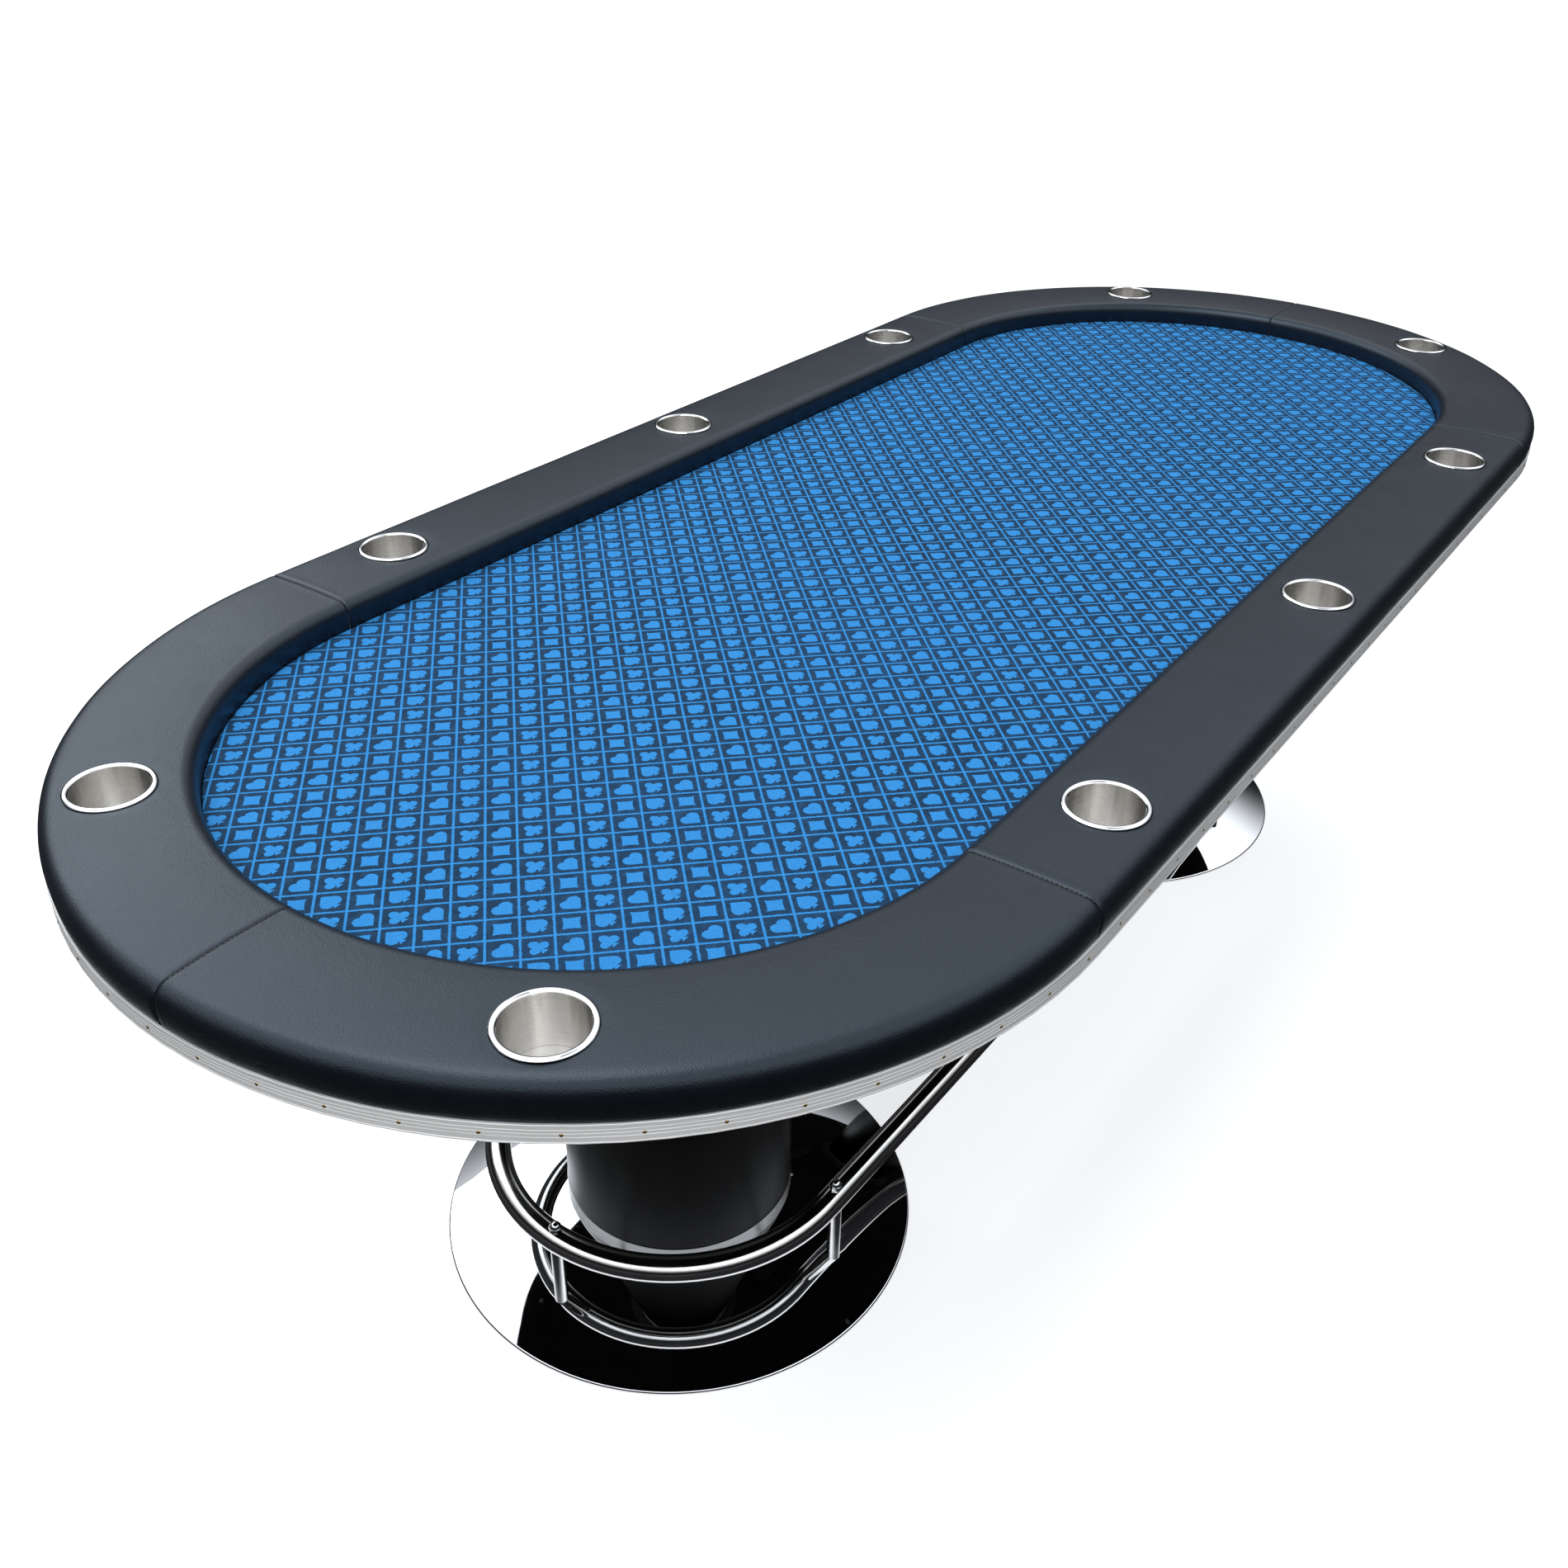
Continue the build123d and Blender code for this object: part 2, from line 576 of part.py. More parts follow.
def build_foot_rail():
    """Tube loop round both pedestals, in two halves joined by inner sleeves, on six posts."""
    posts = post_places()
    stud_holes = [(x, y) for x, y, _ in posts]
    tube_top = FOOT_RAIL_Z + FOOT_TUBE_R
    tube_low = FOOT_RAIL_Z - FOOT_TUBE_R
    for tag, (x, inward) in PEDESTALS.items():
        tube = foot_rail_half(x, inward, FOOT_TUBE_R)
        tube -= foot_rail_half(x, inward, FOOT_TUBE_R - FOOT_TUBE_WALL)
        hole = POST_STUD_R + FIT_GAP
        save(f"foot_rail_{tag}", cut_holes(tube, stud_holes, hole, tube_low - 5, tube_top + 5))

    sleeve_r = FOOT_TUBE_R - FOOT_TUBE_WALL - FIT_GAP
    sleeve = Cylinder(sleeve_r, SLEEVE_LENGTH) - Cylinder(sleeve_r - 2, SLEEVE_LENGTH)
    sleeves = [Pos(0, side * FOOT_RAIL_R, FOOT_RAIL_Z) * Rot(0, 90, 0) * sleeve for side in (-1, 1)]
    save("foot_rail_sleeves", group(sleeves))

    dome = revolve(dome_section(0), axis=Axis.Z)
    saddle_gap = sqrt(FOOT_TUBE_R**2 - POST_R**2)
    uprights = []
    caps = []
    for x, y, pedestal_x in posts:
        upright = rod(x, y, 0, FOOT_RAIL_Z - saddle_gap, POST_R) - Pos(pedestal_x, 0, 0) * dome
        tube = foot_rail_bar_near(x, y, pedestal_x)
        upright = upright - tube
        upright = upright.solids().sort_by(SortBy.VOLUME)[-1]
        uprights.append(upright + rod(x, y, POST_THREAD_BOTTOM, tube_top + 6, POST_STUD_R))
        skirt = hex_prism(x, y, tube_top + FIT_GAP, tube_top + CAP_NUT_SKIRT, 2 * CAP_NUT_R - 1)
        ball = Pos(x, y, tube_top + CAP_NUT_SKIRT) * Sphere(CAP_NUT_R - 0.8)
        ball = ball & Pos(x, y, tube_top + CAP_NUT_SKIRT + CAP_NUT_R) * Box(40, 40, 2 * CAP_NUT_R)
        caps.append(skirt + ball - rod(x, y, tube_top, tube_top + 7, POST_STUD_R + FIT_GAP))
    save("foot_rail_posts", group(uprights))
    save("foot_rail_nuts", group(caps))


def foot_rail_bar_near(x, y, pedestal_x):
    """The bar that a post's top is coped to fit."""
    inward = 1.0 if pedestal_x < 0 else -1.0
    return foot_rail_half(pedestal_x, inward, FOOT_TUBE_R)


# ---------------------------------------------------------------- build everything
def main():
    os.makedirs("parts", exist_ok=True)
    build_playing_field()
    build_trim()
    build_rail()
    build_rail_fixings()
    build_cups()
    for tag, (x, inward) in PEDESTALS.items():
        posts = [(px, py) for px, py, pedestal_x in post_places() if pedestal_x == x]
        levellers = leveller_places(x, inward)
        build_base(tag, x, posts, levellers)
        build_column(tag, x)
        build_levellers(tag, levellers)
    build_pedestal_internals()
    build_foot_rail()


main()
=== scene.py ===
import json
import math

import bpy
import numpy as np
from mathutils import Matrix, Vector


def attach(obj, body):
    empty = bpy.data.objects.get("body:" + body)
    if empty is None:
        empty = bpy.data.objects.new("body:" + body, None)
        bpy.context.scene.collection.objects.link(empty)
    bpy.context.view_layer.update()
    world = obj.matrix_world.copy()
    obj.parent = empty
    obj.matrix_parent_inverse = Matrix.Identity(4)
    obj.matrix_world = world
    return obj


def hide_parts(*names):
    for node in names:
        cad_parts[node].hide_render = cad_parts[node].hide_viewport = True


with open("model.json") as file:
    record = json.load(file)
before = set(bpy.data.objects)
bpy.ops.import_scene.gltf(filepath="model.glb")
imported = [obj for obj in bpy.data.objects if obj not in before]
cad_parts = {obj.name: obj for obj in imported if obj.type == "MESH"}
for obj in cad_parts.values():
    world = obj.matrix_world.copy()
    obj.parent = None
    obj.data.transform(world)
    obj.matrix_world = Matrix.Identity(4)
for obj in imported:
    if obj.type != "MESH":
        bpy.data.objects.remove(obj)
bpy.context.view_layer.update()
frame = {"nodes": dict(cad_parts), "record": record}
nodes = frame["nodes"]

# ---------------------------------------------------------------- sizes, mm in the shared frame
ARC_X = 685.8
DECK_TOP = 720.0
CLOTH_TOP = 727.6
CLOTH_R = 395.1
RAIL_TOP = 759.5
RAIL_INNER_R = 395.4
RAIL_FOOT_INNER_R = 396.0
RAIL_OUTER_R = 532.6
RAIL_FOOT_OUTER_R = 531.1
SHOULDER_OUT = 17.5
SHOULDER_IN = 14.5
CROWN = 1.3
CUP_LINE_R = 468.7
CUP_HOLE_R = 37.0
CUP_SIDE_X = (-551.7, 0.0, 551.7)
CUP_END_ANGLE = math.radians(34.8)
# square of mesh round each cup hole: its half side, the half side of the part cut away, and its spacing
PATCH = 45.0
PATCH_CORE = 27.0
PATCH_STEP = 3.0
HOLE_EDGE_FALLS = (1.2, 2.8, 9.0, 9.0)
# sewn seams between panels
SEAM_STATIONS = (0.0, 0.25, 0.7, 1.3, 2.1, 3.2, 4.8, 7.0, 10.0)
STATION_SPACING = 4.8
SEAM_SINK = 1.15
SEAM_HALF_WIDTH = 1.5
STITCH_PITCH = 4.6
STITCH_START = 14.0
STITCH_STOP = 8.0
FOAM_DROP = 1.6
CLOTH_PITCH = 28.6
CLOTH_SHIFT = (858.8, 111.2)
CLOTH_FRAY = 2.3
CUP_LIP_WIDTH = 83.0
CUP_HEIGHT = 61.3
FLOOR_HALF = 40000.0


# ---------------------------------------------------------------- small helpers
def make_mesh(name, points, faces, smooth=True):
    """A mesh object from points in mm."""
    data = bpy.data.meshes.new(name)
    data.from_pydata((np.asarray(points, float) * 0.001).tolist(), [], faces)
    data.validate()
    data.polygons.foreach_set("use_smooth", [smooth] * len(data.polygons))
    data.update()
    obj = bpy.data.objects.new(name, data)
    bpy.context.scene.collection.objects.link(obj)
    return obj


def smooth_noise(x, y, z, scale, seed):
    """Cheap smooth value noise in numpy, -1 to 1, for x, y, z in mm and scale in mm."""
    p = np.stack([x, y, z], -1) / scale + seed * 17.13
    cell = np.floor(p).astype(np.int64)
    f = p - cell
    f = f * f * (3 - 2 * f)
    total = np.zeros(x.shape)
    for dx in (0, 1):
        for dy in (0, 1):
            for dz in (0, 1):
                c = cell + np.array([dx, dy, dz])
                h = (c[..., 0] * 73856093) ^ (c[..., 1] * 19349663) ^ (c[..., 2] * 83492791)
                h = (h ^ (h >> 13)) * 1274126177 & 0x7FFFFFFF
                value = h / 0x7FFFFFFF * 2 - 1
                w = np.where(dx, f[..., 0], 1 - f[..., 0])
                w = w * np.where(dy, f[..., 1], 1 - f[..., 1])
                w = w * np.where(dz, f[..., 2], 1 - f[..., 2])
                total += value * w
    return total


def racetrack(radius, arc_steps, side_steps):
    """Points round an oval at a radius from its straight spine, anticlockwise from the right side."""
    points = []
    for k in range(side_steps):
        points.append((-ARC_X + 2 * ARC_X * k / side_steps, -radius))
    for k in range(arc_steps):
        a = -math.pi / 2 + math.pi * k / arc_steps
        points.append((ARC_X + radius * math.cos(a), radius * math.sin(a)))
    for k in range(side_steps):
        points.append((ARC_X - 2 * ARC_X * k / side_steps, radius))
    for k in range(arc_steps):
        a = math.pi / 2 + math.pi * k / arc_steps
        points.append((-ARC_X + radius * math.cos(a), radius * math.sin(a)))
    return points


# ---------------------------------------------------------------- shader building
class Num:
    """A number inside a node tree; the operators add math nodes."""

    def __init__(self, tree, socket):
        self.tree = tree
        self.socket = socket

    def op(self, kind, *others):
        node = self.tree.nodes.new("ShaderNodeMath")
        node.operation = kind
        for k, item in enumerate((self,) + others):
            if isinstance(item, Num):
                self.tree.links.new(item.socket, node.inputs[k])
            else:
                node.inputs[k].default_value = item
        return Num(self.tree, node.outputs[0])

    def __add__(self, o):
        return self.op("ADD", o)

    def __sub__(self, o):
        return self.op("SUBTRACT", o)

    def __mul__(self, o):
        return self.op("MULTIPLY", o)

    def __truediv__(self, o):
        return self.op("DIVIDE", o)

    def __neg__(self):
        return self * -1.0

    def abs(self):
        return self.op("ABSOLUTE")

    def floor(self):
        return self.op("FLOOR")

    def power(self, o):
        return self.op("POWER", o)

    def root(self):
        return self.op("SQRT")

    def least(self, o):
        return self.op("MINIMUM", o)

    def most(self, o):
        return self.op("MAXIMUM", o)

    def odd(self):
        """1 when the whole number is odd, 0 when even."""
        half = self * 0.5
        return (half - half.floor()) * 2.0

    def step(self, low, high, out_low=0.0, out_high=1.0):
        """Smooth step from low to high."""
        node = self.tree.nodes.new("ShaderNodeMapRange")
        node.interpolation_type = "SMOOTHSTEP"
        self.tree.links.new(self.socket, node.inputs["Value"])
        for name, value in (("From Min", low), ("From Max", high), ("To Min", out_low), ("To Max", out_high)):
            node.inputs[name].default_value = value
        return Num(self.tree, node.outputs["Result"])


class Mat:
    """A procedural material under construction."""

    def __init__(self, name):
        self.mat = bpy.data.materials.new(name)
        self.mat.use_nodes = True
        self.tree = self.mat.node_tree
        self.bsdf = self.tree.nodes["Principled BSDF"]

    def new(self, kind, **props):
        node = self.tree.nodes.new("ShaderNode" + kind)
        for key, value in props.items():
            setattr(node, key, value)
        return node

    def link(self, source, target):
        self.tree.links.new(source.socket if isinstance(source, Num) else source, target)

    def put(self, socket, value):
        if isinstance(value, (Num, bpy.types.NodeSocket)):
            self.link(value, socket)
        elif isinstance(value, tuple) and len(value) == 3 and socket.type == "RGBA":
            socket.default_value = (*value, 1.0)
        else:
            socket.default_value = value

    def place(self, kind="Object", scale=(1.0, 1.0, 1.0)):
        """Coordinates of a kind, scaled per axis. Object coordinates are metres in the shared frame."""
        coord = self.new("TexCoord")
        mapping = self.new("Mapping")
        self.link(coord.outputs[kind], mapping.inputs["Vector"])
        mapping.inputs["Scale"].default_value = scale
        return mapping.outputs["Vector"]

    def axes(self, vector):
        split = self.new("SeparateXYZ")
        self.link(vector, split.inputs[0])
        return [Num(self.tree, split.outputs[k]) for k in range(3)]

    def join(self, x, y, z):
        node = self.new("CombineXYZ")
        for socket, value in zip(node.inputs, (x, y, z)):
            self.put(socket, value)
        return node.outputs[0]

    def noise(self, vector, scale, detail=3.0, roughness=0.55, distortion=0.0):
        node = self.new("TexNoise")
        self.link(vector, node.inputs["Vector"])
        values = {"Scale": scale, "Detail": detail, "Roughness": roughness, "Distortion": distortion}
        for key, value in values.items():
            node.inputs[key].default_value = value
        return Num(self.tree, node.outputs[0])

    def cells(self, vector, scale, feature="F1"):
        node = self.new("TexVoronoi", feature=feature)
        self.link(vector, node.inputs["Vector"])
        node.inputs["Scale"].default_value = scale
        return Num(self.tree, node.outputs["Distance"])

    def mix(self, fac, a, b):
        node = self.new("Mix", data_type="RGBA")
        sockets = [s for s in node.inputs if s.type == "RGBA"]
        self.put(node.inputs[0], fac)
        self.put(sockets[0], a)
        self.put(sockets[1], b)
        return [s for s in node.outputs if s.type == "RGBA"][0]

    def bump(self, height, distance, strength=1.0, normal=None):
        node = self.new("Bump")
        self.put(node.inputs["Height"], height)
        node.inputs["Distance"].default_value = distance
        node.inputs["Strength"].default_value = strength
        if normal is not None:
            self.link(normal, node.inputs["Normal"])
        return node.outputs[0]

    def finish(self, **inputs):
        for key, value in inputs.items():
            self.put(self.bsdf.inputs[key.replace("_", " ")], value)
        return self.mat


def vinyl():
    """Black faux leather: fine pebble grain, faint broad unevenness, soft sheen."""
    m = Mat("black_vinyl")
    p = m.place()
    pebble = m.cells(p, 780.0, "SMOOTH_F1")
    fine = m.noise(p, 2100.0, 2.0)
    broad = m.noise(p, 9.0, 3.0)
    patch = m.noise(p, 34.0, 4.0)
    height = pebble * 0.8 + fine * 0.2
    normal = m.bump(broad, 0.0011, 0.5)
    normal = m.bump(height, 0.00029, 0.8, normal)
    tone = m.mix(patch.step(0.3, 0.7), (0.0030, 0.0040, 0.0058), (0.0048, 0.0060, 0.0084))
    tone = m.mix(pebble.step(0.25, 0.75), m.mix(0.35, tone, (0.012, 0.014, 0.019)), tone)
    rough = broad * 0.06 + 0.29 + patch * 0.06 + pebble * 0.05
    return m.finish(Base_Color=tone, Roughness=rough, Normal=normal, Specular_IOR_Level=0.62,
                    Specular_Tint=(0.63, 0.81, 1.0))


def suited_cloth():
    """Woven playing cloth: a diagonal lattice with a card suit in every cell."""
    m = Mat("suited_speed_cloth")
    p = m.place()
    x, y, z = m.axes(p)
    x, y = x * 1000.0, y * 1000.0
    fray = m.noise(p, 760.0, 2.0, 0.6)
    fray_2 = m.noise(m.place(scale=(1.0, 1.0, 3.0)), 640.0, 2.0, 0.6)
    x = x + (fray - 0.5) * CLOTH_FRAY + CLOTH_SHIFT[0]
    y = y + (fray_2 - 0.5) * CLOTH_FRAY + CLOTH_SHIFT[1]
    pitch = CLOTH_PITCH
    a = (x - y) / (pitch * math.sqrt(2))
    b = (-x - y) / (pitch * math.sqrt(2))
    i, j = a.floor(), b.floor()
    u = (a - i - 0.5) * pitch
    v = (b - j - 0.5) * pitch
    right = (u - v) * math.sqrt(0.5)
    up = (u + v) * -math.sqrt(0.5)
    lattice = (-u.abs().most(v.abs())) + (pitch / 2 - 1.15)

    def disc(px, py, rx, ry):
        return (((right - px) / rx).power(2.0) + ((up - py) / ry).power(2.0)).root() * min(rx, ry) - min(rx, ry)

    def heart(sign):
        h = 5.9
        s = h / 2 * sign
        square = (u - s).abs().most((v - s).abs()) - h
        one = ((u - s + h * sign).power(2.0) + (v - s).power(2.0)).root() - h
        two = ((u - s).power(2.0) + (v - s + h * sign).power(2.0)).root() - h
        return square.least(one).least(two)

    fall = (-up - 2.0).most(0.0)
    stem = (right.abs() - (fall.power(2.0) * 0.065 + 0.9)).most(-up - 8.6).most(up + 1.0)
    spade = heart(-1.0).least(stem)
    club = disc(0.0, 4.7, 4.4, 4.9).least(disc(-4.8, -1.5, 5.0, 4.3)).least(disc(4.8, -1.5, 5.0, 4.3))
    club = club.least(disc(0.0, 0.6, 3.2, 3.2)).least(stem)
    diamond = (right.abs().power(0.85) + up.abs().power(0.85) - 11.3 ** 0.85) * 0.9
    odd_i, odd_j = i.odd(), j.odd()
    even_i, even_j = odd_i * -1.0 + 1.0, odd_j * -1.0 + 1.0
    shape = spade * even_i * odd_j + diamond * odd_i * odd_j + club * even_i * even_j + heart(1.0) * odd_i * even_j
    light = shape.least(lattice).step(0.28, -0.28)
    thread = m.noise(m.place(scale=(900.0, 2600.0, 1.0)), 1.0, 2.0)
    thread_2 = m.noise(m.place(scale=(2600.0, 900.0, 1.0)), 1.0, 2.0)
    weave = thread * 0.6 + thread_2 * 0.4
    mottle = m.noise(p, 120.0, 3.0)
    pale = m.mix(weave.step(0.35, 0.65), (0.018, 0.170, 0.455), (0.040, 0.275, 0.640))
    dark = m.mix(weave.step(0.3, 0.7), (0.0050, 0.022, 0.052), (0.012, 0.043, 0.092))
    dark = m.mix(mottle.step(0.4, 0.7), dark, (0.014, 0.050, 0.108))
    tone = m.mix(light, dark, pale)
    shade = m.noise(p, 2.2, 2.0)
    tone = m.mix(shade.step(0.35, 0.7) * 0.07, tone, (0.03, 0.17, 0.48))
    normal = m.bump(light, 0.00022, 0.55)
    normal = m.bump(weave, 0.00022, 0.8, normal)
    return m.finish(Base_Color=tone, Roughness=0.78, Normal=normal, Specular_IOR_Level=0.10,
                    Sheen_Weight=0.03, Sheen_Roughness=0.4, Sheen_Tint=(0.2, 0.5, 1.0))


def foam(name, tone):
    """Open-cell foam with small bubbles and faint mottling."""
    m = Mat(name)
    p = m.place()
    bubbles = m.cells(p, 620.0)
    soft = m.noise(p, 40.0, 4.0)
    colour = m.mix(bubbles.step(0.1, 0.7), tuple(c * 0.7 for c in tone), tone)
    colour = m.mix(soft.step(0.35, 0.75) * 0.4, colour, tuple(c * 1.25 for c in tone))
    return m.finish(Base_Color=colour, Roughness=0.95, Normal=m.bump(bubbles, 0.0006, 0.7), Specular_IOR_Level=0.2)


def wood(name, dark, pale, along="x", roughness=0.6):
    """Plank or plywood with grain along an axis."""
    m = Mat(name)
    squeeze = {"x": (3.0, 60.0, 60.0), "y": (60.0, 3.0, 60.0), "z": (60.0, 60.0, 3.0)}[along]
    fine = {"x": (14.0, 900.0, 900.0), "y": (900.0, 14.0, 900.0), "z": (900.0, 900.0, 14.0)}[along]
    grain = m.noise(m.place(scale=squeeze), 1.0, 6.0, 0.6, 0.6)
    fibre = m.noise(m.place(scale=fine), 1.0, 3.0)
    colour = m.mix(grain.step(0.3, 0.7), dark, pale)
    colour = m.mix(fibre.step(0.55, 0.8) * 0.5, colour, tuple(c * 0.45 for c in dark))
    rough = fibre * 0.2 + (roughness - 0.1)
    normal = m.bump(fibre * 0.6 + grain * 0.4, 0.0004, 0.6)
    return m.finish(Base_Color=colour, Roughness=rough, Normal=normal, Specular_IOR_Level=0.35)


def plywood_edge(name):
    """Plywood whose plies show as bands in height."""
    m = Mat(name)
    x, y, z = m.axes(m.place())
    ply = (z * 1000.0 / 1.7)
    band = (ply - ply.floor() - 0.5).abs().step(0.12, 0.3)
    grain = m.noise(m.place(scale=(4.0, 80.0, 900.0)), 1.0, 5.0)
    speck = m.noise(m.place(), 700.0, 2.0)
    colour = m.mix(band, (0.34, 0.22, 0.12), (0.56, 0.41, 0.25))
    colour = m.mix(grain.step(0.35, 0.75) * 0.55, colour, (0.25, 0.15, 0.08))
    rough = speck * 0.2 + 0.6
    return m.finish(Base_Color=colour, Roughness=rough, Normal=m.bump(grain, 0.0004, 0.6))


def aluminium_trim():
    """Extruded strip: streaks run along it, brighter on the beads, dull scuffs."""
    m = Mat("fluted_aluminium")
    streak = m.noise(m.place(scale=(9.0, 9.0, 5200.0)), 1.0, 3.0, 0.65)
    broad = m.noise(m.place(scale=(5.0, 5.0, 60.0)), 1.0, 3.0)
    speck = m.noise(m.place(), 900.0, 2.0)
    colour = m.mix(streak.step(0.3, 0.72), (0.60, 0.60, 0.59), (0.86, 0.87, 0.875))
    colour = m.mix(broad.step(0.45, 0.75) * 0.35, colour, (0.52, 0.52, 0.51))
    rough = streak * 0.16 + 0.40 + speck * 0.05
    return m.finish(Base_Color=colour, Metallic=0.50, Roughness=rough, Normal=m.bump(streak, 0.00009, 0.6),
                    Specular_IOR_Level=0.6)


def metal(name, colour, roughness, grain=0.12, grain_scale=(700.0, 700.0, 700.0), dull=0.75, bump=0.00004,
          smear=14.0):
    """Metal with fine grain and soft smears in its roughness and tone."""
    m = Mat(name)
    fine = m.noise(m.place(scale=grain_scale), 1.0, 3.0)
    soft = m.noise(m.place(), smear, 4.0, 0.6)
    shade = m.mix(soft.step(0.35, 0.72), colour, tuple(c * dull for c in colour))
    shade = m.mix(fine.step(0.35, 0.7) * 0.35, shade, tuple(c * 0.82 for c in colour))
    rough = fine * grain + (roughness - grain * 0.5) + soft.step(0.45, 0.8) * grain * 0.8
    return m.finish(Base_Color=shade, Metallic=1.0, Roughness=rough, Normal=m.bump(fine, bump, 0.5))


def chrome(name):
    """Mirror plate with a trace of wiping marks, dust and shallow unevenness."""
    m = Mat(name)
    wipe = m.noise(m.place(scale=(26.0, 90.0, 26.0)), 1.0, 4.0, 0.6, 1.5)
    dust = m.noise(m.place(), 1300.0, 1.0)
    broad = m.noise(m.place(), 5.0, 2.0)
    rough = wipe.step(0.5, 0.85) * 0.045 + 0.018 + dust.step(0.70, 0.80) * 0.10
    colour = m.mix(dust.step(0.70, 0.80) * 0.5, (0.86, 0.87, 0.885), (0.55, 0.54, 0.52))
    normal = m.bump(broad, 0.0007, 0.25)
    return m.finish(Base_Color=colour, Metallic=1.0, Roughness=rough, Normal=normal)


def brushed_cup():
    """Drawn stainless: rings of brushing inside, a polished rolled lip, a bright floor, and painted shade: the
    bottom face is coloured near black.
    """
    m = Mat("brushed_cup")
    gx, gy, gz = m.axes(m.place("Generated"))
    x = (gx - 0.5) * CUP_LIP_WIDTH
    y = (gy - 0.5) * CUP_LIP_WIDTH
    height = gz * CUP_HEIGHT
    radius = (x.power(2.0) + y.power(2.0)).root()
    angle = y.op("ARCTAN2", x)
    lip = height.step(58.6, 59.4)
    line = m.noise(m.join(radius * 1.1, height * 1.9, angle * 0.55), 2.0, 5.0, 0.72)
    fine = m.noise(m.join(radius * 5.0, height * 7.0, angle * 0.8), 1.0, 2.0)
    waves = m.noise(m.join(x * 0.055, y * 0.055, height * 0.006), 1.0, 2.0)
    ring = (height - 7.0).abs().step(0.9, 0.2)
    scratch = line * 0.6 + fine * 0.4
    warm = m.mix(scratch.step(0.35, 0.68), (0.76, 0.745, 0.72), (0.93, 0.915, 0.89))
    warm = m.mix(waves.step(0.40, 0.62) * 0.55, warm, (0.44, 0.425, 0.40))
    warm = m.mix(ring * 0.4, warm, (0.35, 0.33, 0.31))
    colour = m.mix(lip, warm, (0.88, 0.885, 0.885))
    # painted shade: the bottom face of the cup, below 0.35 mm, is coloured near black
    painted_shade_bottom = height.step(0.35, 0.15)
    colour = m.mix(painted_shade_bottom, colour, (0.035, 0.035, 0.034))
    keep = lip * -1.0 + 1.0
    rough = scratch * 0.16 * keep + keep * 0.20 + lip * 0.055 + fine * lip * 0.03
    tangent = m.new("Tangent", direction_type="RADIAL", axis="Z")
    aniso = keep * 0.78
    normal = m.bump(scratch * keep + ring * 1.2, 0.00008, 0.8)
    return m.finish(Base_Color=colour, Metallic=1.0, Roughness=rough, Anisotropic=aniso,
                    Anisotropic_Rotation=0.25, Tangent=tangent.outputs[0], Normal=normal)


def brushed_band():
    """Brushed steel band: the lines run round the column."""
    m = Mat("brushed_band")
    line = m.noise(m.place(scale=(14.0, 14.0, 3600.0)), 1.0, 4.0, 0.7)
    soft = m.noise(m.place(), 30.0, 3.0)
    colour = m.mix(line.step(0.3, 0.7), (0.56, 0.56, 0.56), (0.80, 0.80, 0.79))
    rough = line * 0.18 + 0.17 + soft * 0.06
    tangent = m.new("Tangent", direction_type="RADIAL", axis="Z")
    return m.finish(Base_Color=colour, Metallic=1.0, Roughness=rough, Normal=m.bump(line, 0.00007, 0.7),
                    Anisotropic=0.6, Anisotropic_Rotation=0.25, Tangent=tangent.outputs[0])


def black_column():
    """Satin black painted tube with faint orange peel and dust."""
    m = Mat("black_column")
    peel = m.noise(m.place(), 260.0, 3.0)
    run = m.noise(m.place(scale=(30.0, 30.0, 5.0)), 1.0, 4.0)
    dust = m.noise(m.place(), 900.0, 1.0)
    colour = m.mix(run.step(0.35, 0.75), (0.0008, 0.0009, 0.0010), (0.0015, 0.0016, 0.0020))
    colour = m.mix(dust.step(0.70, 0.80) * 0.10, colour, (0.03, 0.03, 0.03))
    rough = run * 0.08 + 0.27 + peel * 0.05
    return m.finish(Base_Color=colour, Roughness=rough, Normal=m.bump(peel, 0.00008, 0.5), Specular_IOR_Level=0.24)


def paint(name, dark, pale, roughness):
    """Painted or moulded surface with grain and wear."""
    m = Mat(name)
    grain = m.noise(m.place(), 520.0, 3.0)
    soft = m.noise(m.place(), 22.0, 4.0)
    colour = m.mix(soft.step(0.35, 0.7), dark, pale)
    colour = m.mix(grain.step(0.62, 0.78) * 0.4, colour, tuple(c * 1.7 for c in pale))
    rough = grain * 0.2 + (roughness - 0.1)
    return m.finish(Base_Color=colour, Roughness=rough, Normal=m.bump(grain, 0.0003, 0.7))


def thread_material():
    """Twisted black sewing thread."""
    m = Mat("seam_thread")
    twist = m.noise(m.place(scale=(1800.0, 1800.0, 1800.0)), 1.0, 2.0)
    colour = m.mix(twist.step(0.3, 0.7), (0.004, 0.004, 0.005), (0.022, 0.024, 0.030))
    return m.finish(Base_Color=colour, Roughness=0.6, Normal=m.bump(twist, 0.0002, 0.6))


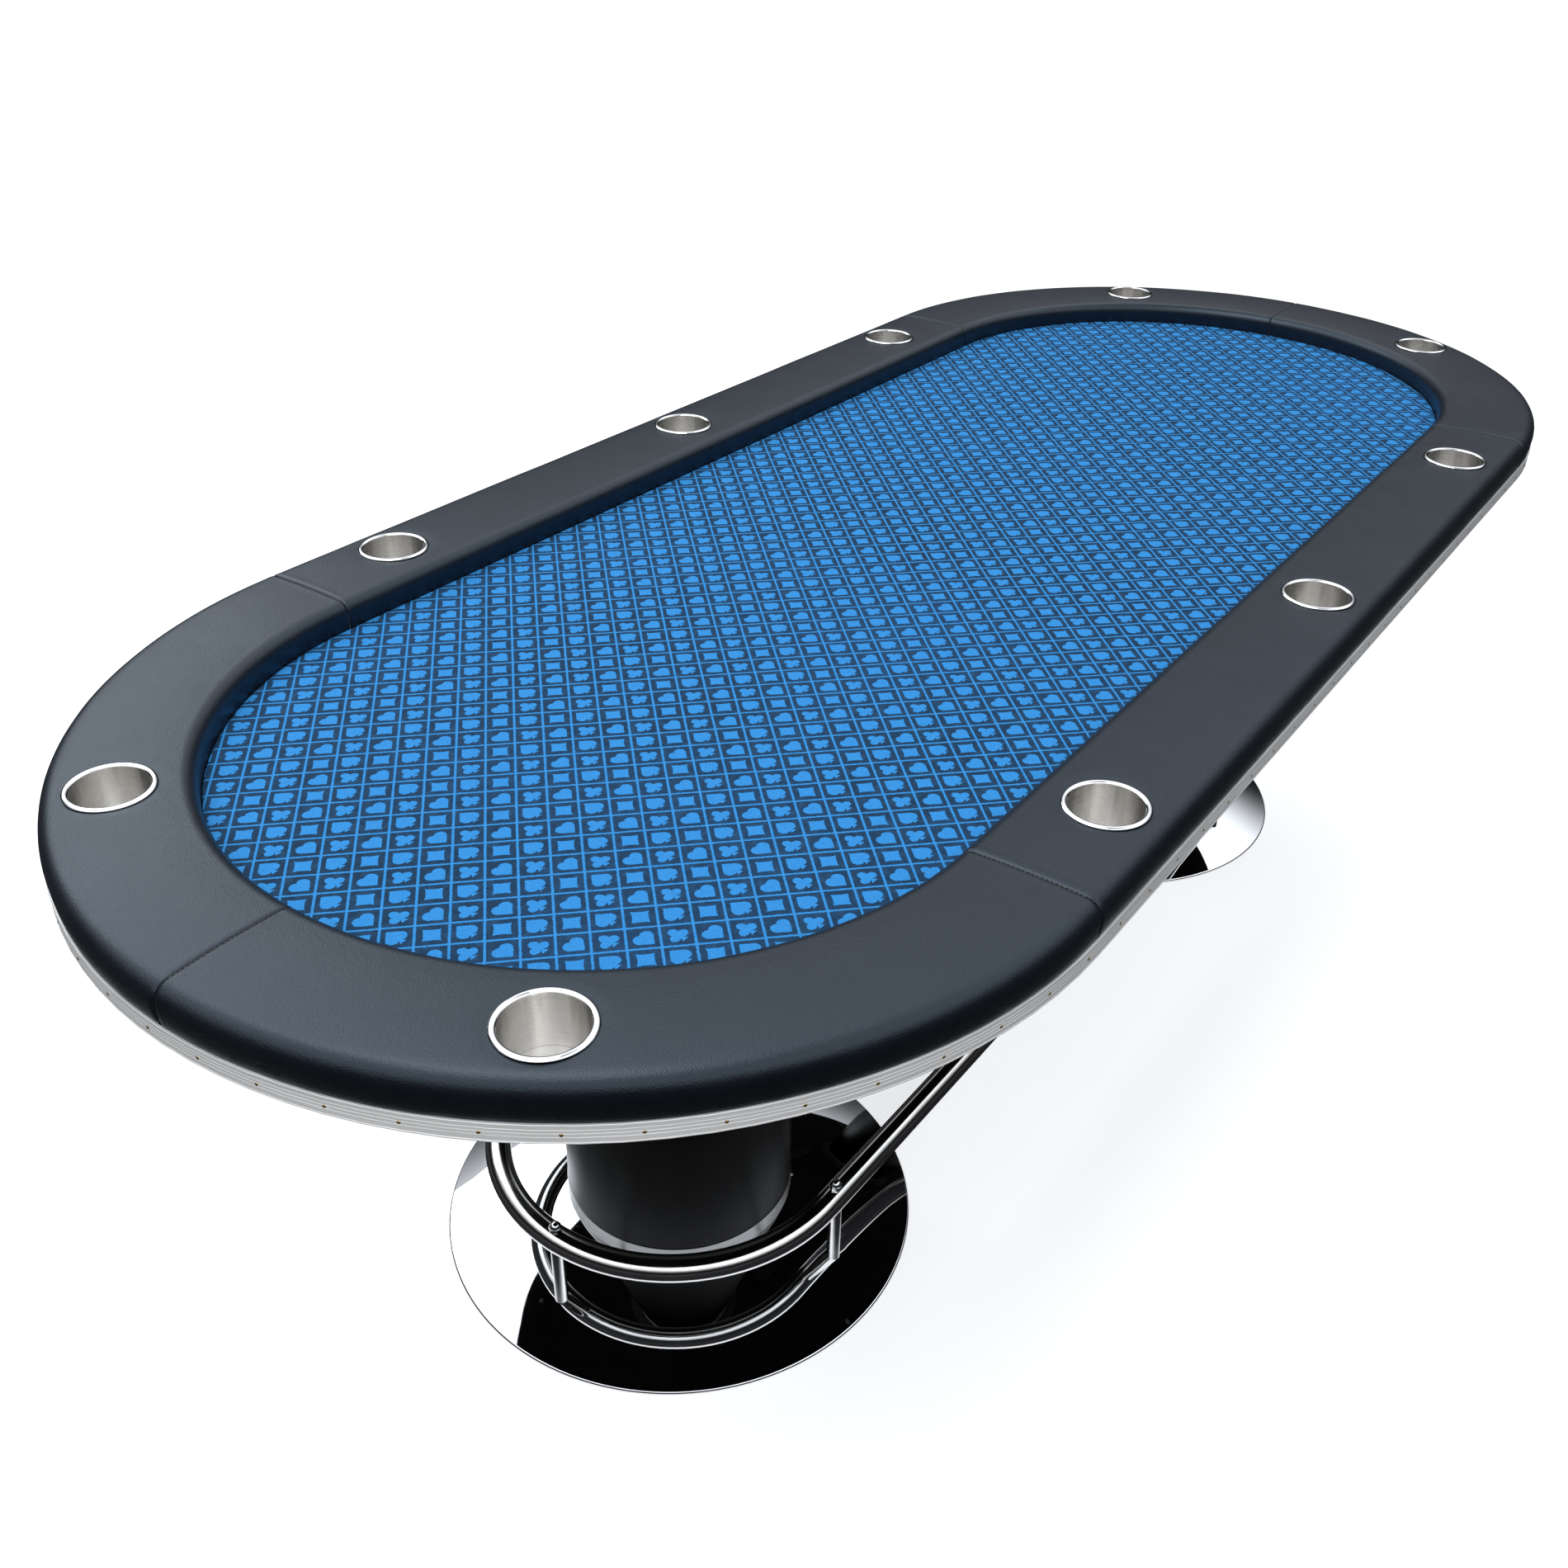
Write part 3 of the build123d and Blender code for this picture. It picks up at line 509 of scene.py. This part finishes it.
finishes = {
    "black_vinyl": vinyl(),
    "suited_speed_cloth": suited_cloth(),
    "underlay_foam": foam("underlay_foam", (0.17, 0.17, 0.185)),
    "rail_foam": foam("rail_foam", (0.30, 0.29, 0.27)),
    "plywood_deck": wood("plywood_deck", (0.0014, 0.0014, 0.0013), (0.0046, 0.0043, 0.0040), "x", 0.68),
    "hardwood_batten": wood("hardwood_batten", (0.010, 0.0075, 0.0055), (0.028, 0.020, 0.014), "x", 0.55),
    "plywood_core": plywood_edge("plywood_core"),
    "disc_board": wood("disc_board", (0.30, 0.20, 0.11), (0.50, 0.36, 0.21), "y", 0.7),
    "fluted_aluminium": aluminium_trim(),
    "brass_pin": metal("brass_pin", (0.80, 0.55, 0.20), 0.28, dull=0.6, smear=300.0),
    "zinc_bolt": metal("zinc_bolt", (0.60, 0.60, 0.57), 0.34, dull=0.7, smear=120.0),
    "zinc_insert": metal("zinc_insert", (0.62, 0.60, 0.52), 0.38, dull=0.7, smear=150.0),
    "threaded_steel": metal("threaded_steel", (0.47, 0.46, 0.44), 0.42, grain_scale=(400.0, 400.0, 2400.0),
                            bump=0.0003),
    "zinc_nut": metal("zinc_nut", (0.60, 0.60, 0.58), 0.33, dull=0.7, smear=90.0),
    "black_screw": paint("black_screw", (0.012, 0.012, 0.012), (0.030, 0.030, 0.030), 0.4),
    "band_pin_steel": metal("band_pin_steel", (0.72, 0.72, 0.72), 0.16, smear=300.0),
    "polished_tube": metal("polished_tube", (0.80, 0.79, 0.77), 0.085, 0.06, (500.0, 500.0, 500.0), 0.86,
                           0.00001, 20.0),
    "sleeve_steel": metal("sleeve_steel", (0.55, 0.55, 0.54), 0.35, grain_scale=(30.0, 1500.0, 1500.0)),
    "polished_post": metal("polished_post", (0.80, 0.79, 0.775), 0.11, 0.07, (700.0, 700.0, 1500.0), 0.84,
                           0.00001, 30.0),
    "cap_nut_chrome": metal("cap_nut_chrome", (0.80, 0.80, 0.80), 0.08, 0.05, dull=0.85, bump=0.00001, smear=150.0),
    "brushed_cup": brushed_cup(),
    "black_column": black_column(),
    "black_plate": paint("black_plate", (0.012, 0.012, 0.013), (0.026, 0.026, 0.028), 0.5),
    "brushed_band": brushed_band(),
    "cast_weight": paint("cast_weight", (0.035, 0.034, 0.033), (0.075, 0.072, 0.068), 0.75),
    "chrome_dome": chrome("chrome_dome"),
    "leveller_pad": paint("leveller_pad", (0.012, 0.012, 0.012), (0.032, 0.032, 0.032), 0.65),
    "leveller_stem": metal("leveller_stem", (0.55, 0.55, 0.53), 0.36, grain_scale=(500.0, 500.0, 2600.0),
                           bump=0.0002),
}
for row in frame["record"]["subparts"]:
    obj = nodes[row["node"]]
    obj.data.materials.clear()
    obj.data.materials.append(finishes[row["material_slot"]])


# ---------------------------------------------------------------- padded rail
def rail_profile(drop=0.0):
    """Rows of the rail's section from the inner foot over the top to the outer foot: (radius, height).

    The crown's rows, from start to end, have no height of their own.
    """
    inner, outer, top = RAIL_INNER_R + drop, RAIL_OUTER_R - drop, RAIL_TOP - drop
    inner_foot, outer_foot = RAIL_FOOT_INNER_R + drop, RAIL_FOOT_OUTER_R - drop
    edge = top - CROWN
    rows = []
    for k in range(5):
        t = k / 4
        foot = DECK_TOP + 0.3
        rows.append((inner_foot + (inner - inner_foot) * t, foot + (edge - SHOULDER_IN - foot) * t))
    for k in range(1, 9):
        a = math.pi / 2 * k / 8
        rows.append((inner + SHOULDER_IN * (1 - math.cos(a)), edge - SHOULDER_IN * (1 - math.sin(a))))
    start = len(rows)
    lines = [CUP_LINE_R - PATCH + PATCH_STEP * k for k in range(int(2 * PATCH / PATCH_STEP + 1.5))]
    gap = lines[0] - rows[-1][0]
    extra = [rows[-1][0] + gap * k / 4 for k in range(1, 4)]
    for r in extra + lines:
        rows.append((r, None))
    end = len(rows)
    last = rows[-1][0]
    for k in range(8, -1, -1):
        a = math.pi / 2 * k / 8
        r = outer - SHOULDER_OUT * (1 - math.cos(a))
        if r > last + 0.4:
            rows.append((r, edge - SHOULDER_OUT * (1 - math.sin(a))))
    low = edge - SHOULDER_OUT
    for k in range(1, 7):
        t = k / 6
        rows.append((outer + (outer_foot - outer) * t ** 1.5, low + (DECK_TOP + 0.4 - low) * t))
    return rows, start, end


def crown_height(r, drop=0.0):
    """Height of the rail's flat top at a radius; it falls away slightly to both shoulders."""
    middle = (RAIL_INNER_R + RAIL_OUTER_R) / 2
    half = (RAIL_OUTER_R - RAIL_INNER_R) / 2 - 16.0
    return RAIL_TOP - drop - CROWN * np.clip(np.abs((r - middle) / half), 0, 1) ** 2.4


def stations(length, cups):
    """Distances along a panel: fine at both seams, aligned to every cup patch."""
    ends = SEAM_STATIONS
    marks = list(ends) + [length - e for e in ends]
    blocks = []
    low = ends[-1]
    for c in sorted(cups):
        blocks.append((low, c - PATCH))
        low = c + PATCH
    blocks.append((low, length - ends[-1]))
    out = set(round(m, 4) for m in marks)
    for a, b in blocks:
        n = max(1, int((b - a) / STATION_SPACING))
        for k in range(n + 1):
            out.add(round(a + (b - a) * k / n, 4))
    for c in cups:
        for k in range(int(2 * PATCH / PATCH_STEP + 1.5)):
            out.add(round(c - PATCH + PATCH_STEP * k, 4))
    return sorted(out)


def panel_frame(kind):
    """(length, cup distances, function from distance and radius to x, y) of a panel."""
    if kind.startswith("side"):
        sign = 1 if kind.endswith("left") else -1

        def spot(u, r):
            return -sign * (u - ARC_X), sign * r + 0 * u

        return 2 * ARC_X, [ARC_X + x for x in CUP_SIDE_X], spot
    end = -1 if "_a_" in kind else 1
    side = 1 if kind.endswith("left") else -1
    length = math.pi / 2 * CUP_LINE_R

    def spot(u, r):
        angle = u / CUP_LINE_R
        return end * (ARC_X + r * np.cos(angle)), side * r * np.sin(angle)

    return length, [CUP_END_ANGLE * CUP_LINE_R], spot


def rail_panel(name, kind, drop=0.0, seams=True):
    """One sewn panel of the rail with its cup holes, seams and slight puckering."""
    length, cups, spot = panel_frame(kind)
    profile, start, end = rail_profile(drop)
    us = np.array(stations(length, cups))
    rs = np.array([p[0] for p in profile])
    zs = np.array([p[1] if p[1] is not None else 0.0 for p in profile])
    u, r = np.meshgrid(us, rs, indexing="ij")
    z = np.broadcast_to(zs, u.shape).copy()
    x, y = spot(u, r)
    hole = np.zeros(u.shape, bool)
    near = np.full(u.shape, 1e3)
    for c in cups:
        du, dr = u - c, r - CUP_LINE_R
        m = np.maximum(np.abs(du), np.abs(dr))
        inside = m < PATCH_CORE - 0.01
        ring = (m >= PATCH_CORE - 0.01) & (m <= PATCH + 0.01)
        cx, cy = spot(np.array(c), np.array(CUP_LINE_R))
        ox, oy = spot(np.array(c), np.array(CUP_LINE_R + 1.0))
        ax, ay = spot(np.array(c + 1e-3), np.array(CUP_LINE_R))
        er = np.array([ox - cx, oy - cy])
        eu = np.array([ax - cx, ay - cy]) * 1e3
        size = np.hypot(du, dr) + 1e-9
        t = np.clip((m - PATCH_CORE) / (PATCH - PATCH_CORE), 0, 1)
        radius = CUP_HOLE_R + (PATCH - PATCH_CORE) * 0.62 * t
        qx = cx + radius * (du * eu[0] + dr * er[0]) / size
        qy = cy + radius * (du * eu[1] + dr * er[1]) / size
        w = t ** 1.6
        x = np.where(ring, qx * (1 - w) + x * w, x)
        y = np.where(ring, qy * (1 - w) + y * w, y)
        hole |= inside
        distance = np.hypot(x - cx, y - cy)
        near = np.minimum(near, distance)
    true_r = np.where(np.abs(x) > ARC_X, np.hypot(np.abs(x) - ARC_X, y), np.abs(y))
    top = np.zeros(u.shape, bool)
    top[:, start:end] = True
    z = np.where(top, crown_height(true_r, drop), z)
    # outward direction of the section, for shaping
    dz = np.gradient(z, axis=1)
    dr_ = np.gradient(rs)[None, :] + 0 * z
    size = np.hypot(dz, dr_) + 1e-9
    nz, nr = dr_ / size, -dz / size
    side_x = np.where(np.abs(x) > ARC_X, (x - np.sign(x) * ARC_X) / np.maximum(true_r, 1), 0.0)
    side_y = y / np.maximum(true_r, 1)
    lift = np.zeros(u.shape)
    from_seam = np.minimum(u, length - u)
    if seams:
        lift += -SEAM_SINK * np.exp(-((from_seam / SEAM_HALF_WIDTH) ** 2)) - 0.35 * np.exp(-from_seam / 9.0)
        lift += 0.28 * np.exp(-(((from_seam - 5.0) / 3.0) ** 2))
        pucker = np.sin(r * 0.78 + 2.0 * smooth_noise(x, y, z, 25.0, 3)) * smooth_noise(x, y, z, 14.0, 4)
        lift += 0.16 * pucker * np.exp(-from_seam / 11.0)
        lift += -2.2 * (from_seam < 0.01)
    broad = smooth_noise(x, y, z, 95.0, 1) * 0.34 + smooth_noise(x, y, z, 42.0, 2) * 0.13
    lift += broad * np.clip(near / 30.0 - 1.2, 0, 1)
    lift += -0.45 * np.exp(-((near - 41.0) / 7.0) ** 2) * top
    foot = np.clip((DECK_TOP + 16.0 - z) / 16.0, 0, 1) * (~top)
    outer_side = (rs > 500.0)[None, :] & np.ones(u.shape, bool)
    gather = np.sin(u * 0.19 + 1.7 * smooth_noise(x, y, z, 60.0, 5))
    lift += foot * outer_side * gather * 0.10 * (0.5 + 0.5 * smooth_noise(x, y, z * 0, 130.0, 6))
    x = x + lift * nr * side_x
    y = y + lift * nr * side_y
    z = z + lift * nz
    points = np.stack([x, y, z], -1).reshape(-1, 3)
    rows, columns = u.shape
    faces = []
    for a in range(rows - 1):
        for b in range(columns - 1):
            if hole[a, b] or hole[a + 1, b] or hole[a, b + 1] or hole[a + 1, b + 1]:
                continue
            quad = (a * columns + b, a * columns + b + 1, (a + 1) * columns + b + 1, (a + 1) * columns + b)
            faces.append(quad)
    points = points.tolist()
    # a turned-down edge inside every hole
    for c in cups:
        ia = [k for k in range(rows) if abs(us[k] - c) <= PATCH_CORE + 0.01]
        ib = [k for k in range(start, end) if abs(rs[k] - CUP_LINE_R) <= PATCH_CORE + 0.01]
        loop = [(ia[0], k) for k in ib[:-1]] + [(k, ib[-1]) for k in ia[:-1]]
        loop += [(ia[-1], k) for k in reversed(ib[1:])] + [(k, ib[0]) for k in reversed(ia[1:])]
        ring = [a * columns + b for a, b in loop]
        count = len(ring)
        for fall in HOLE_EDGE_FALLS:
            first = len(points)
            points.extend((points[k][0], points[k][1], points[k][2] - fall) for k in list(ring))
            for k in range(count):
                n = (k + 1) % count
                faces.append((ring[k], ring[n], first + n, first + k))
            ring = list(range(first, first + count))
    return make_mesh(name, points, faces)


def tidy_mesh(obj):
    """Loose points go, and faces turn outward."""
    bpy.context.view_layer.objects.active = obj
    obj.select_set(True)
    bpy.ops.object.mode_set(mode="EDIT")
    bpy.ops.mesh.select_all(action="SELECT")
    bpy.ops.mesh.delete_loose()
    bpy.ops.mesh.select_all(action="SELECT")
    bpy.ops.mesh.normals_make_consistent(inside=False)
    bpy.ops.object.mode_set(mode="OBJECT")
    obj.select_set(False)


panel_kinds = ("end_a_left", "end_a_right", "end_b_left", "end_b_right", "side_left", "side_right")
for kind in panel_kinds:
    panel = rail_panel("vinyl_panel_" + kind, kind)
    panel.data.materials.append(finishes["black_vinyl"])
    tidy_mesh(panel)
    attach(panel, "root")
    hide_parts("rail_cover_" + kind)

# the foam under the vinyl: the same panels a little smaller, joined into one piece
foam_parts = []
for kind in panel_kinds:
    part = rail_panel("foam_" + kind, kind, drop=FOAM_DROP, seams=False)
    part.data.materials.append(finishes["rail_foam"])
    tidy_mesh(part)
    foam_parts.append(part)
bpy.ops.object.select_all(action="DESELECT")
for part in foam_parts:
    part.select_set(True)
bpy.context.view_layer.objects.active = foam_parts[0]
bpy.ops.object.join()
rail_foam = foam_parts[0]
rail_foam.name = "rail_padding"
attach(rail_foam, "root")
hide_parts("rail_foam")
rail_foam.select_set(False)


# ---------------------------------------------------------------- seam stitches
def capsule(centre, along, length, radius, sides=6):
    """A short rounded thread as points and faces."""
    along = Vector(along).normalized()
    across = along.orthogonal().normalized()
    other = along.cross(across)
    rings = ((-0.5, 0.35), (-0.36, 0.9), (0.0, 1.0), (0.36, 0.9), (0.5, 0.35))
    points = []
    for t, k in rings:
        for s in range(sides):
            a = 2 * math.pi * s / sides
            offset = along * (t * length) + (across * math.cos(a) + other * math.sin(a)) * radius * k
            points.append(tuple(Vector(centre) + offset))
    faces = []
    for g in range(len(rings) - 1):
        for s in range(sides):
            a, b = g * sides + s, g * sides + (s + 1) % sides
            faces.append((a, b, b + sides, a + sides))
    faces.append(tuple(range(sides)))
    faces.append(tuple(range(len(points) - sides, len(points))))
    return points, faces


def seam_line():
    """Radius and height of the points over the rail along a seam, from the inner foot to the outer foot."""
    profile, start, end = rail_profile()
    return [(r, float(crown_height(np.array(r))) if z is None else z) for r, z in profile]


def stitch_seam(name, place, length, radius, sink):
    """Row of stitches in a seam groove: place is the x sign of an end seam, or the x and y signs of a side seam."""
    section = seam_line()
    walk = [0.0]
    for (r0, z0), (r1, z1) in zip(section, section[1:]):
        walk.append(walk[-1] + math.hypot(r1 - r0, z1 - z0))
    walk = np.array(walk)
    rr = np.array([s[0] for s in section])
    zz = np.array([s[1] for s in section])
    points, faces = [], []
    d = STITCH_START
    while d < walk[-1] - STITCH_STOP:
        r = float(np.interp(d, walk, rr))
        z = float(np.interp(d, walk, zz))
        r2 = float(np.interp(d + 1.0, walk, rr))
        z2 = float(np.interp(d + 1.0, walk, zz))
        tr, tz = r2 - r, z2 - z
        nr, nz = -tz, tr
        r, z = r - nr * sink, z - nz * sink
        if isinstance(place, tuple):
            sx, sy = place
            centre = (sx * ARC_X, sy * r, z)
            along = (0.0, sy * tr, tz)
        else:
            centre = (place * (ARC_X + r), 0.0, z)
            along = (place * tr, 0.0, tz)
        p, f = capsule(centre, along, length, radius)
        base = len(points)
        points += p
        faces += [tuple(k + base for k in face) for face in f]
        d += STITCH_PITCH
    obj = make_mesh(name, points, faces)
    obj.data.materials.append(seam_thread)
    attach(obj, "root")
    return obj


seam_thread = thread_material()
stitch_seam("stitches_end_a", -1, 3.5, 0.42, 0.75)
stitch_seam("stitches_end_b", 1, 3.5, 0.42, 0.75)
for sx, sy, tag in ((-1, -1, "a_right"), (-1, 1, "a_left"), (1, -1, "b_right"), (1, 1, "b_left")):
    stitch_seam("stitches_" + tag, (sx, sy), 3.3, 0.34, 1.0)


# ---------------------------------------------------------------- playing cloth and its underlay
def field(name, radii, height, depth):
    """An oval sheet with a rolled rim: rings of points from the rim to the spine."""
    arc_steps, side_steps = 120, 150
    points = []
    count = 2 * (arc_steps + side_steps)
    for r in radii:
        for px, py in racetrack(max(r, 0.4), arc_steps, side_steps):
            points.append((px, py))
    points = np.array(points)
    ring_r = np.repeat(np.array(radii), count)
    from_rim = radii[0] - ring_r
    z = np.full(len(points), height)
    z -= 1.1 * np.exp(-((from_rim / 1.6) ** 1.5))
    x, y = points[:, 0], points[:, 1]
    sway = smooth_noise(x, y, x * 0, 160.0, 8) * 0.16 + smooth_noise(x, y, x * 0, 60.0, 9) * 0.05
    z += np.minimum(sway, 0.0) * np.clip(from_rim / 20.0, 0, 1) * 1.4
    points = np.column_stack([points, z])
    rings = len(radii)
    faces = []
    for g in range(rings - 1):
        for k in range(count):
            n = (k + 1) % count
            faces.append((g * count + k, g * count + n, (g + 1) * count + n, (g + 1) * count + k))
    inner = (rings - 1) * count
    skirt = np.column_stack([points[:count, 0], points[:count, 1], np.full(count, height - depth)])
    base = len(points)
    points = np.vstack([points, skirt])
    for k in range(count):
        n = (k + 1) % count
        faces.append((base + k, base + n, n, k))
    faces.append(tuple(range(inner, inner + count)))
    faces.append(tuple(base + k for k in reversed(range(count))))
    return make_mesh(name, points, faces)


rim_radii = [CLOTH_R, CLOTH_R - 0.5, CLOTH_R - 1.2, CLOTH_R - 2.2, CLOTH_R - 4.0]
rim_radii += list(np.linspace(CLOTH_R - 8.0, 0.5, 56))
cloth = field("playing_cloth_sheet", rim_radii, CLOTH_TOP, 1.5)
cloth.data.materials.append(finishes["suited_speed_cloth"])
tidy_mesh(cloth)
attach(cloth, "root")
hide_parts("playing_cloth")
underlay = field("playing_underlay", [CLOTH_R, CLOTH_R - 2.0, CLOTH_R - 30.0, 200.0, 1.0], CLOTH_TOP - 1.7, 5.7)
underlay.data.materials.append(finishes["underlay_foam"])
tidy_mesh(underlay)
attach(underlay, "root")
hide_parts("playing_foam")


# ---------------------------------------------------------------- floor, world, lights, camera
FLOOR_IN_REFLECTIONS = (0.038, 0.038, 0.040)


def floor_material():
    """Pale floor for the camera, with a plain glow far off; dark in reflections, so polished parts keep contrast."""
    m = Mat("studio_floor")
    p = m.place()
    grain = m.noise(p, 6.0, 3.0)
    x, y, z = m.axes(p)
    far = ((x.power(2.0) + y.power(2.0)).root()).step(1.9, 5.0)
    pale = m.mix(grain.step(0.3, 0.7), (0.925, 0.925, 0.93), (0.935, 0.935, 0.94))
    path = m.new("LightPath")
    seen = Num(m.tree, path.outputs["Is Camera Ray"])
    keep = far * seen * -1.0 + 1.0
    colour = m.mix(seen, FLOOR_IN_REFLECTIONS, pale)
    colour = m.mix(keep, (0.0, 0.0, 0.0), colour)
    return m.finish(Base_Color=colour, Roughness=0.85, Specular_IOR_Level=0.0,
                    Emission_Color=(1.0, 1.0, 1.0), Emission_Strength=(far * 0.52 + 0.5) * seen)


floor_corners = [(x * FLOOR_HALF, y * FLOOR_HALF, 0) for x, y in ((-1, -1), (1, -1), (1, 1), (-1, 1))]
floor = make_mesh("studio_floor", floor_corners, [(0, 1, 2, 3)], smooth=False)
floor.data.materials.append(floor_material())

world = bpy.data.worlds.new("studio")
bpy.context.scene.world = world
world.use_nodes = True
tree = world.node_tree
tree.nodes.clear()
output = tree.nodes.new("ShaderNodeOutputWorld")
sky = tree.nodes.new("ShaderNodeBackground")
coord = tree.nodes.new("ShaderNodeTexCoord")
split = tree.nodes.new("ShaderNodeSeparateXYZ")
tree.links.new(coord.outputs["Generated"], split.inputs[0])
height = Num(tree, split.outputs[2])
path = tree.nodes.new("ShaderNodeLightPath")
seen = Num(tree, path.outputs["Is Camera Ray"])
level = (height.step(0.14, 0.66).power(1.9) * 1.45 + 0.012) * height.step(0.80, 0.975, 1.0, 0.35)
level = level * (seen * -1.0 + 1.0) + seen * 1.06
tint = tree.nodes.new("ShaderNodeCombineColor")
for k, gain in enumerate((0.96, 0.99, 1.04)):
    tree.links.new((level * gain).socket, tint.inputs[k])
tree.links.new(tint.outputs[0], sky.inputs["Color"])
sky.inputs["Strength"].default_value = 1.0
tree.links.new(sky.outputs[0], output.inputs["Surface"])


def softbox(name, place, target, size, power, colour=(1.0, 1.0, 1.0)):
    """A rectangular area light aimed at a target, in metres."""
    data = bpy.data.lights.new(name, "AREA")
    data.shape = "RECTANGLE"
    data.size, data.size_y = size
    data.energy = power
    data.color = colour
    obj = bpy.data.objects.new(name, data)
    bpy.context.scene.collection.objects.link(obj)
    obj.location = place
    obj.rotation_euler = (Vector(target) - Vector(place)).to_track_quat("-Z", "Y").to_euler()
    return obj


softbox("left_window", (0.2, 4.4, 3.3), (-0.6, 0.0, 0.6), (3.4, 2.0), 48.0, (0.90, 0.96, 1.0))
# two fills that light only the edge trim, so that its bare metal stays bright beside the black rail
trim_parts = bpy.data.collections.new("trim_parts")
trim_parts.objects.link(nodes["edge_trim"])
trim_parts.objects.link(nodes["trim_pins"])
for tag, turn in (("near", -1), ("far", 1)):
    fill = softbox("trim_fill_" + tag, (4.4 * turn, 2.6 * turn, 1.9), (0.8 * turn, 0.4 * turn, 0.6),
                   (3.0, 1.6), 165.0)
    fill.light_linking.receiver_collection = trim_parts
    fill.visible_glossy = False
softbox("top_light", (-0.9, 0.6, 4.2), (0.0, 0.0, 0.7), (3.0, 2.0), 66.0)

# camera, in metres, mm and radians: place, lens, and yaw, pitch and roll
CAMERA_PLACE = (-1.6675, -0.9030, 1.5153)
CAMERA_LENS = 35.25
CAMERA_TURN = (0.617, -0.5668, 0.0159)
camera_data = bpy.data.cameras.new("photo_camera")
camera_data.sensor_fit = "HORIZONTAL"
camera_data.sensor_width = 36.0
camera_data.lens = CAMERA_LENS
camera_data.clip_end = 200.0
camera = bpy.data.objects.new("photo_camera", camera_data)
bpy.context.scene.collection.objects.link(camera)
yaw, pitch, roll = CAMERA_TURN
forward = Vector((math.cos(pitch) * math.cos(yaw), math.cos(pitch) * math.sin(yaw), math.sin(pitch)))
right = forward.cross(Vector((0, 0, 1))).normalized()
up = right.cross(forward)
rolled_right = right * math.cos(roll) + up * math.sin(roll)
rolled_up = up * math.cos(roll) - right * math.sin(roll)
turn = Matrix((rolled_right, rolled_up, -forward)).transposed()
camera.matrix_world = Matrix.Translation(CAMERA_PLACE) @ turn.to_4x4()
bpy.context.scene.camera = camera
bpy.context.scene.view_settings.view_transform = "Standard"
bpy.context.scene.view_settings.look = "None"
